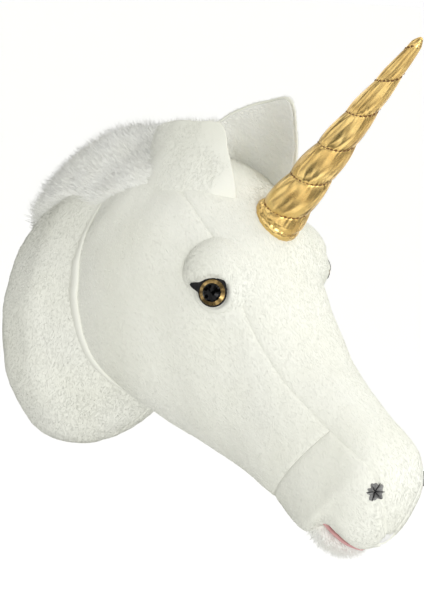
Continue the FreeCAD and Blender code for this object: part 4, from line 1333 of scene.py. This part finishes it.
# %% Mouth lining
LINING_ROWS, LINING_COLUMNS = 16, 25
LINING_EDGE = 15.0
stations = np.linspace(294, 328, LINING_ROWS)
half = head_slice(stations)[:, 3]
width = np.maximum(3.0, half - LINING_EDGE)
across = np.linspace(-1, 1, LINING_COLUMNS)[None]
lining_top = on_head(width[:, None] * across, 104.2 + 1.2 * across**2 + 0 * stations[:, None],
                     stations[:, None] + 0 * across)
lining, faces = layer(lining_top.reshape(-1, 3), grid_quads(LINING_ROWS, LINING_COLUMNS, wrap=False),
                      np.broadcast_to(RISE, (LINING_ROWS * LINING_COLUMNS, 3)).copy(), LINING_DEPTH)
lining = new_piece("mouth_lining_felt", lining, faces, PINK_FELT)
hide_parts("mouth_lining")
print("lining width at its widest, in mm:", round(float(2 * width.max()), 1))

# %% [markdown]
# ## Nostrils
# Each nostril is a tuck of grey cloth, gathered to a star by a few dark threads. It is a small pleated disc
# that swells and dips again in the middle, with the threads arched over it.

# %% Nostrils
NOSTRIL_ALONG = 309.0
NOSTRIL_REACH = 6.8
NOSTRIL_HIGH = {"right": 164.0, "left": 156.0}
NOSTRIL_ASIDE = {"right": 0.72, "left": 1.0}
for side, sign in (("right", -1.0), ("left", 1.0)):
    s, n = NOSTRIL_ALONG, NOSTRIL_HIGH[side]
    centre = on_head(sign * head_side_x(s, n), n, s)
    out = unit(sign * NOSTRIL_ASIDE[side] * ACROSS + 0.60 * RISE + 0.34 * ALONG)
    ahead = unit(ALONG - out * (ALONG @ out))
    upward = np.cross(out, ahead) * (-sign)
    rings, spokes = 16, 72
    points = []
    for ring in range(rings + 1):
        r = ring / rings
        for spoke in range(spokes):
            t = 2 * math.pi * spoke / spokes
            reach = (NOSTRIL_REACH + 0.9 * math.sin(5 * t + 0.4) + 0.5 * math.sin(9 * t)) * r
            pleat = 0.55 * math.sin(9 * t) * math.sin(math.pi * r)
            swelling = 1.5 * math.sin(math.pi * min(1.0, r * 0.95)) - 1.6 * (1 - r) ** 2
            height = swelling + pleat - 1.8 * r**6 + 0.7
            points.append(centre + ahead * reach * math.cos(t) + upward * reach * math.sin(t) + out * height)
    points = np.array(points)
    faces = grid_quads(rings + 1, spokes)
    rim = points[-spokes:] - out * 2.0
    start = len(points)
    points = np.concatenate([points, rim])
    faces += [(start - spokes + i, start - spokes + (i + 1) % spokes, start + (i + 1) % spokes, start + i)
              for i in range(spokes)]
    faces.append(tuple(start + i for i in range(spokes)))
    piece = new_piece("nostril_%s_cloth" % side, points, faces, GREY_CLOTH)
    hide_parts("nostril_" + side)
    spread_points, spread_faces = [], []
    for angle in (1.9, 0.9, 0.1, -0.9, -2.1, 2.9):
        a = np.linspace(0.4, 7.4, 7)
        arch = np.interp(a, [0, 3.5, 7.4], [0.0, 2.5, 0.3])
        flat = np.outer(a * math.cos(angle), ahead) + np.outer(a * math.sin(angle), upward)
        line = centre + flat + np.outer(arch, out)
        points, faces = tube(line, np.broadcast_to(out, line.shape), 0.36, 0.34, 6)
        offset = sum(len(p) for p in spread_points)
        spread_points.append(points)
        spread_faces += [tuple(i + offset for i in f) for f in faces]
    new_piece("nostril_thread_" + side, np.concatenate(spread_points), spread_faces, BLACK_FELT)
print("nostril height on the head:", NOSTRIL_HIGH)

# %% [markdown]
# ## Short pile
# Plush is soft because its surface is thousands of short fibres. A bump alone leaves a hard outline, so
# short blades are scattered over every white panel and laid along the nap.

# %% Short pile builder
def short_pile(name, points, normals, quads, count, seed, comb, keep=None, body="head"):
    """Short blades over one cover, as a piece of its own."""
    rng = np.random.default_rng(seed)
    roots, ups = scatter(points.reshape(-1, 3), normals.reshape(-1, 3), quads, count, rng, keep)
    combs = comb + rng.normal(size=(count, 3)) * 0.28
    lean = unit(combs - ups * np.sum(combs * ups, axis=1, keepdims=True))
    tall = 1.8 + 1.2 * rng.random(count)
    hair, faces = strands(roots - ups * 0.1, ups * 0.15, lean, tall, 0.42, 0.08, 1, rng)
    return new_pile(name, hair, faces, PLUSH, body=body)


def outside_neck(places):
    """True where the head shows outside the neck."""
    return inside_neck(places) > 0.97


def outside_head(places):
    """True where the neck shows outside the head."""
    s, n = places @ ALONG, places @ RISE
    low, high, middle, half, above, below = head_slice(s).T
    tall = np.where(n > middle, high - middle, middle - low)
    value = (places[:, 0] / half) ** 2 + ((n - middle) / tall) ** 2
    return (value > 0.9) | (s < -15)


print("helpers made:", "short_pile, outside_neck, outside_head")

# %% [markdown]
# ## Laying the nap
# Every white panel gets its blades, combed the way the cloth was brushed: down the nose on the head, down
# on the collar, and towards the tips on the ears. Places that are hidden inside another cover are left
# bare.

# %% Nap on every panel
HEAD_BLADES, NECK_BLADES, BROW_BLADES, EAR_BLADES = 66000, 66000, 5000, 12000
HEAD_QUADS = grid_quads(*HEAD_SHAPE)
for index, (side, test) in enumerate((("right", -1), ("left", 1))):
    keep = lambda places, test=test: outside_neck(places) & (places[:, 0] * test > 0)
    short_pile("head_pile_" + side, head_points, head_normals, HEAD_QUADS, HEAD_BLADES, 81 + index,
               ALONG * 0.9 + np.array([0, 0, -0.25]), keep)
short_pile("neck_pile", neck_points, neck_normals, grid_quads(neck_rows, NECK_COLUMNS), NECK_BLADES, 91,
           np.array([0, 0.3, -0.8]), outside_head)

for side in ("right", "left"):
    lid, facing, out, hollow = LIDS[side]
    facing = facing * np.where(facing @ out < 0, -1.0, 1.0)[..., None]
    solid = (hollow < 0.4).ravel()
    lid_quads = [q for q in grid_quads(LID_RINGS + 1, LID_SPOKES) if all(solid[i] for i in q)]
    short_pile("brow_pile_" + side, lid, facing, lid_quads, BROW_BLADES, 95, ALONG * 0.6 - RISE * 0.4)
    cover, facing = EAR_COVERS[side]
    ear_quads = grid_quads(EAR_ROWS, EAR_COLUMNS, wrap=False)
    sign = -1.0 if side == "right" else 1.0
    foot, up = ear_axes(sign)[:2]
    pile = short_pile("ear_nap_" + side, cover, facing, ear_quads, EAR_BLADES, 97, up, body=None)
    start, end = place_at(foot - up * EAR_HOLD), place_at(foot + up * EAR_FREE)
    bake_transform(pile)
print("blades of nap:", 2 * HEAD_BLADES + NECK_BLADES + 2 * (BROW_BLADES + EAR_BLADES))

# %% [markdown]
# ## The back felt
# An oval of pressed felt closes the back of the head over the board. It is cut flat and glued down, so it
# is a thin sheet with an even edge, and only its outer face is a little uneven.

# %% Back felt
FELT_LOW, FELT_HIGH = np.array(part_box("back_felt")) / MM
felt_middle, felt_half = (FELT_LOW + FELT_HIGH) / 2, (FELT_HIGH - FELT_LOW) / 2
FELT_RINGS, FELT_SPOKES = 24, 120
r = np.linspace(0.02, 1, FELT_RINGS)[:, None]
t = (2 * math.pi * np.arange(FELT_SPOKES) / FELT_SPOKES)[None]
felt = np.stack([felt_half[0] * r * np.cos(t), 0 * r * t, felt_half[2] * r * np.sin(t)], axis=-1)
felt = felt + felt_middle + np.array([0, felt_half[1], 0]) - LIFT
felt[..., 1] -= 0.12 * (1 + ripple(felt, 24.0, 111))
felt_quads = grid_quads(FELT_RINGS, FELT_SPOKES)
felt_quads.append(tuple(reversed(range(FELT_SPOKES))))
felt_facing = np.broadcast_to(np.array([0.0, 1.0, 0.0]), (FELT_RINGS * FELT_SPOKES, 3))
points, faces = layer(felt.reshape(-1, 3), felt_quads, felt_facing, 2 * felt_half[1] - 0.25)
back = new_piece("back_felt_oval", points, faces, BACK_FELT)
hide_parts("back_felt")

# %% [markdown]
# ## Small hard parts
# The eyes, the lock washers, the board and the hanger keep their CAD shapes. Only their finish changes.


# %% Finishes of the CAD parts
def dress(node, material):
    """Gives a CAD part its finish."""
    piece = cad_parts[node]
    piece.data.materials.clear()
    piece.data.materials.append(material)


def speckled(name, colour, other, roughness, metallic, scale):
    """Paint, plastic or metal with a little unevenness in colour and gloss."""
    material, shader = plain_shader(name, colour, roughness, metallic)
    nodes, links = material.node_tree.nodes, material.node_tree.links
    where = nodes.new("ShaderNodeTexCoord")
    noise = nodes.new("ShaderNodeTexNoise")
    noise.inputs["Scale"].default_value = scale
    mix = nodes.new("ShaderNodeMix")
    mix.data_type = "RGBA"
    mix.inputs["A"].default_value = (*colour, 1.0)
    mix.inputs["B"].default_value = (*other, 1.0)
    gloss = nodes.new("ShaderNodeMapRange")
    gloss.inputs["To Min"].default_value = max(0.03, roughness - 0.06)
    gloss.inputs["To Max"].default_value = roughness + 0.06
    links.new(where.outputs["Object"], noise.inputs["Vector"])
    links.new(noise.outputs["Fac"], mix.inputs["Factor"])
    links.new(mix.outputs["Result"], shader.inputs["Base Color"])
    links.new(noise.outputs["Fac"], gloss.inputs["Value"])
    links.new(gloss.outputs["Result"], shader.inputs["Roughness"])
    return material


print("helpers made:", "dress, speckled")

# %% [markdown]
# ## Dressing the hard parts
# Each hard part gets its own colours, roughness and speckle size. The pupil is kept deep black by a low
# specular level, so that only the brightest lights show in it.

# %% Hard parts dressed
# The iris's gold is darkened to bronze and speckled with near black: painted shade for the shadow the lid
# casts on it.
IRIS_GOLD_AND_PAINTED_SHADE = speckled("gold iris with painted shade", (0.50, 0.34, 0.13), (0.05, 0.03, 0.01), 0.20, 0.85, 190)
BLACK_DOME = speckled("black dome", (0.001, 0.001, 0.001), (0.002, 0.002, 0.002), 0.10, 0.0, 300)
WASHER = speckled("washer plastic", (0.82, 0.82, 0.80), (0.78, 0.78, 0.76), 0.5, 0.0, 200)
BOARD = speckled("fibreboard", (0.50, 0.36, 0.23), (0.42, 0.29, 0.18), 0.8, 0.0, 350)
ZINC = speckled("zinc plate", (0.62, 0.62, 0.63), (0.52, 0.52, 0.55), 0.35, 1.0, 150)
black_shader = BLACK_DOME.node_tree.nodes["Principled BSDF"]
black_shader.inputs["Specular IOR Level"].default_value = 0.15
for node, material in {
    "eye_iris_right": IRIS_GOLD_AND_PAINTED_SHADE, "eye_iris_left": IRIS_GOLD_AND_PAINTED_SHADE, "eye_pupil_right": BLACK_DOME,
    "eye_pupil_left": BLACK_DOME, "eye_washer_right": WASHER, "eye_washer_left": WASHER,
    "back_board": BOARD, "hanger_plate": ZINC, "hanger_ring": ZINC,
    "hanger_screws": ZINC,
}.items():
    dress(node, material)
print("finishes in all:", len(bpy.data.materials))

# %% [markdown]
# ## Studio
# The camera looks at the toy's right cheek from a little above, from far away, so that the long nose isn't
# drawn too large. Its lens follows from how many millimetres have to fit in the picture's height.

# %% Camera
AZIMUTH, HEIGHT = math.radians(-50.0), math.radians(12.0)
FAR, SCALE = 1700.0, 1.25
FRAME_TALL, SENSOR_TALL = 600.0, 24.0
AIM_ASIDE, AIM_UP = 6.0, 10.0
back = np.array([math.sin(AZIMUTH) * math.cos(HEIGHT), -math.cos(AZIMUTH) * math.cos(HEIGHT),
                 math.sin(HEIGHT)])
right = np.array([math.cos(AZIMUTH), math.sin(AZIMUTH), 0.0])
upward = np.cross(back, right)
aim = np.array([0.0, -160.0, 40.0]) - right * (AIM_ASIDE / SCALE) - upward * (AIM_UP / SCALE)
camera_data = bpy.data.cameras.new("camera")
camera_data.sensor_fit = "VERTICAL"
camera_data.sensor_height = SENSOR_TALL
camera_data.lens = SCALE * FAR * SENSOR_TALL / FRAME_TALL
camera_data.clip_end = 20.0
camera = bpy.data.objects.new("camera", camera_data)
bpy.context.collection.objects.link(camera)
matrix = Matrix(((right[0], upward[0], back[0], 0), (right[1], upward[1], back[1], 0),
                 (right[2], upward[2], back[2], 0), (0, 0, 0, 1)))
matrix.translation = Vector(place_at(aim + back * FAR))
camera.matrix_world = matrix
bpy.context.scene.camera = camera
print("lens in mm:", round(camera_data.lens, 1))

# %% [markdown]
# ## Lights
# Pale cloth needs soft light from several sides. A large key stands above and in front, a second large one
# low in front of the cheek, and a small one at the far edge puts a gleam on the gold.


# %% Lights
def soft_light(name, place, size, power, target):
    """A square area light that looks at a target, all in metres."""
    lamp = bpy.data.lights.new(name, "AREA")
    lamp.energy = power
    lamp.size = size
    light = bpy.data.objects.new(name, lamp)
    bpy.context.collection.objects.link(light)
    light.location = place
    light.rotation_euler = (Vector(target) - Vector(place)).to_track_quat("-Z", "Y").to_euler()
    return light


TARGET = place_at((0.0, -160.0, 40.0))
KEY_FROM = unit([0.45, -0.60, 1.0])
soft_light("key", tuple(np.array(TARGET) + KEY_FROM * 1.5), 0.7, 2.2, TARGET)
soft_light("front", tuple(np.array(TARGET) + unit([-0.6, -1.0, -0.15]) * 1.5), 0.6, 6.0, TARGET)
soft_light("edge", tuple(np.array(TARGET) + unit([0.9, -0.7, 0.15]) * 1.3), 0.25, 2.5, TARGET)
print("lights:", len(bpy.data.lights))

# %% [markdown]
# ## Floor
# The floor is pale, plain and far below. It is left out of reflections and of the light that falls on the
# cloth, so that it can be white without washing out the shaded side.

# %% Floor
floor_mesh = bpy.data.meshes.new("floor")
FLOOR_HALF, FLOOR_HIGH = 9.0, -0.42
floor_corners = [(x * FLOOR_HALF, y * FLOOR_HALF, FLOOR_HIGH)
                 for x, y in ((-1, -1), (1, -1), (1, 1), (-1, 1))]
floor_mesh.from_pydata(floor_corners, [], [(0, 1, 2, 3)])
floor = bpy.data.objects.new("floor", floor_mesh)
bpy.context.collection.objects.link(floor)
floor_material, floor_shader = plain_shader("pale floor", (0.96, 0.96, 0.96), 0.9)
floor_shader.inputs["Emission Color"].default_value = (1.0, 1.0, 1.0, 1.0)
floor_shader.inputs["Emission Strength"].default_value = 0.35
floor_mesh.materials.append(floor_material)
floor.visible_glossy = False
floor.visible_diffuse = False
print("floor height in m:", FLOOR_HIGH)

# %% [markdown]
# ## Surround
# A light path node tells which kind of ray asks. The surround is white to the camera, softly graded from
# front to back for the cloth, and patchy in reflections only, because gold looks like gold when it mirrors
# bright and dark.

# %% Surround
world = bpy.data.worlds.new("white surround")
bpy.context.scene.world = world
world.use_nodes = True
nodes, links = world.node_tree.nodes, world.node_tree.links
glow = nodes["Background"]
glow.inputs["Color"].default_value = (1.0, 1.0, 0.96, 1.0)
where = nodes.new("ShaderNodeTexCoord")
split = nodes.new("ShaderNodeSeparateXYZ")
front = nodes.new("ShaderNodeMapRange")
front.inputs["From Min"].default_value = -1.0
front.inputs["To Min"].default_value = 0.96
front.inputs["To Max"].default_value = 0.40
patches = nodes.new("ShaderNodeTexNoise")
patches.inputs["Scale"].default_value = 3.6
patches.inputs["Detail"].default_value = 1.0
shine = nodes.new("ShaderNodeMapRange")
shine.inputs["From Min"].default_value = 0.44
shine.inputs["From Max"].default_value = 0.58
shine.inputs["To Min"].default_value = 0.06
shine.inputs["To Max"].default_value = 2.2
mirror_glow = nodes.new("ShaderNodeBackground")
links.new(where.outputs["Generated"], split.inputs["Vector"])
links.new(split.outputs["Y"], front.inputs["Value"])
links.new(front.outputs["Result"], glow.inputs["Strength"])
links.new(where.outputs["Generated"], patches.inputs["Vector"])
links.new(patches.outputs["Fac"], shine.inputs["Value"])
links.new(shine.outputs["Result"], mirror_glow.inputs["Strength"])
clear = nodes.new("ShaderNodeBackground")
clear.inputs["Color"].default_value = (1.0, 1.0, 1.0, 1.0)
clear.inputs["Strength"].default_value = 1.0
ray = nodes.new("ShaderNodeLightPath")
either = nodes.new("ShaderNodeMixShader")
glossy = nodes.new("ShaderNodeMixShader")
links.new(ray.outputs["Is Glossy Ray"], glossy.inputs["Fac"])
links.new(glow.outputs["Background"], glossy.inputs[1])
links.new(mirror_glow.outputs["Background"], glossy.inputs[2])
links.new(ray.outputs["Is Camera Ray"], either.inputs["Fac"])
links.new(glossy.outputs["Shader"], either.inputs[1])
links.new(clear.outputs["Background"], either.inputs[2])
links.new(either.outputs["Shader"], nodes["World Output"].inputs["Surface"])
bpy.context.scene.view_settings.view_transform = "Standard"
print("surround:", world.name)
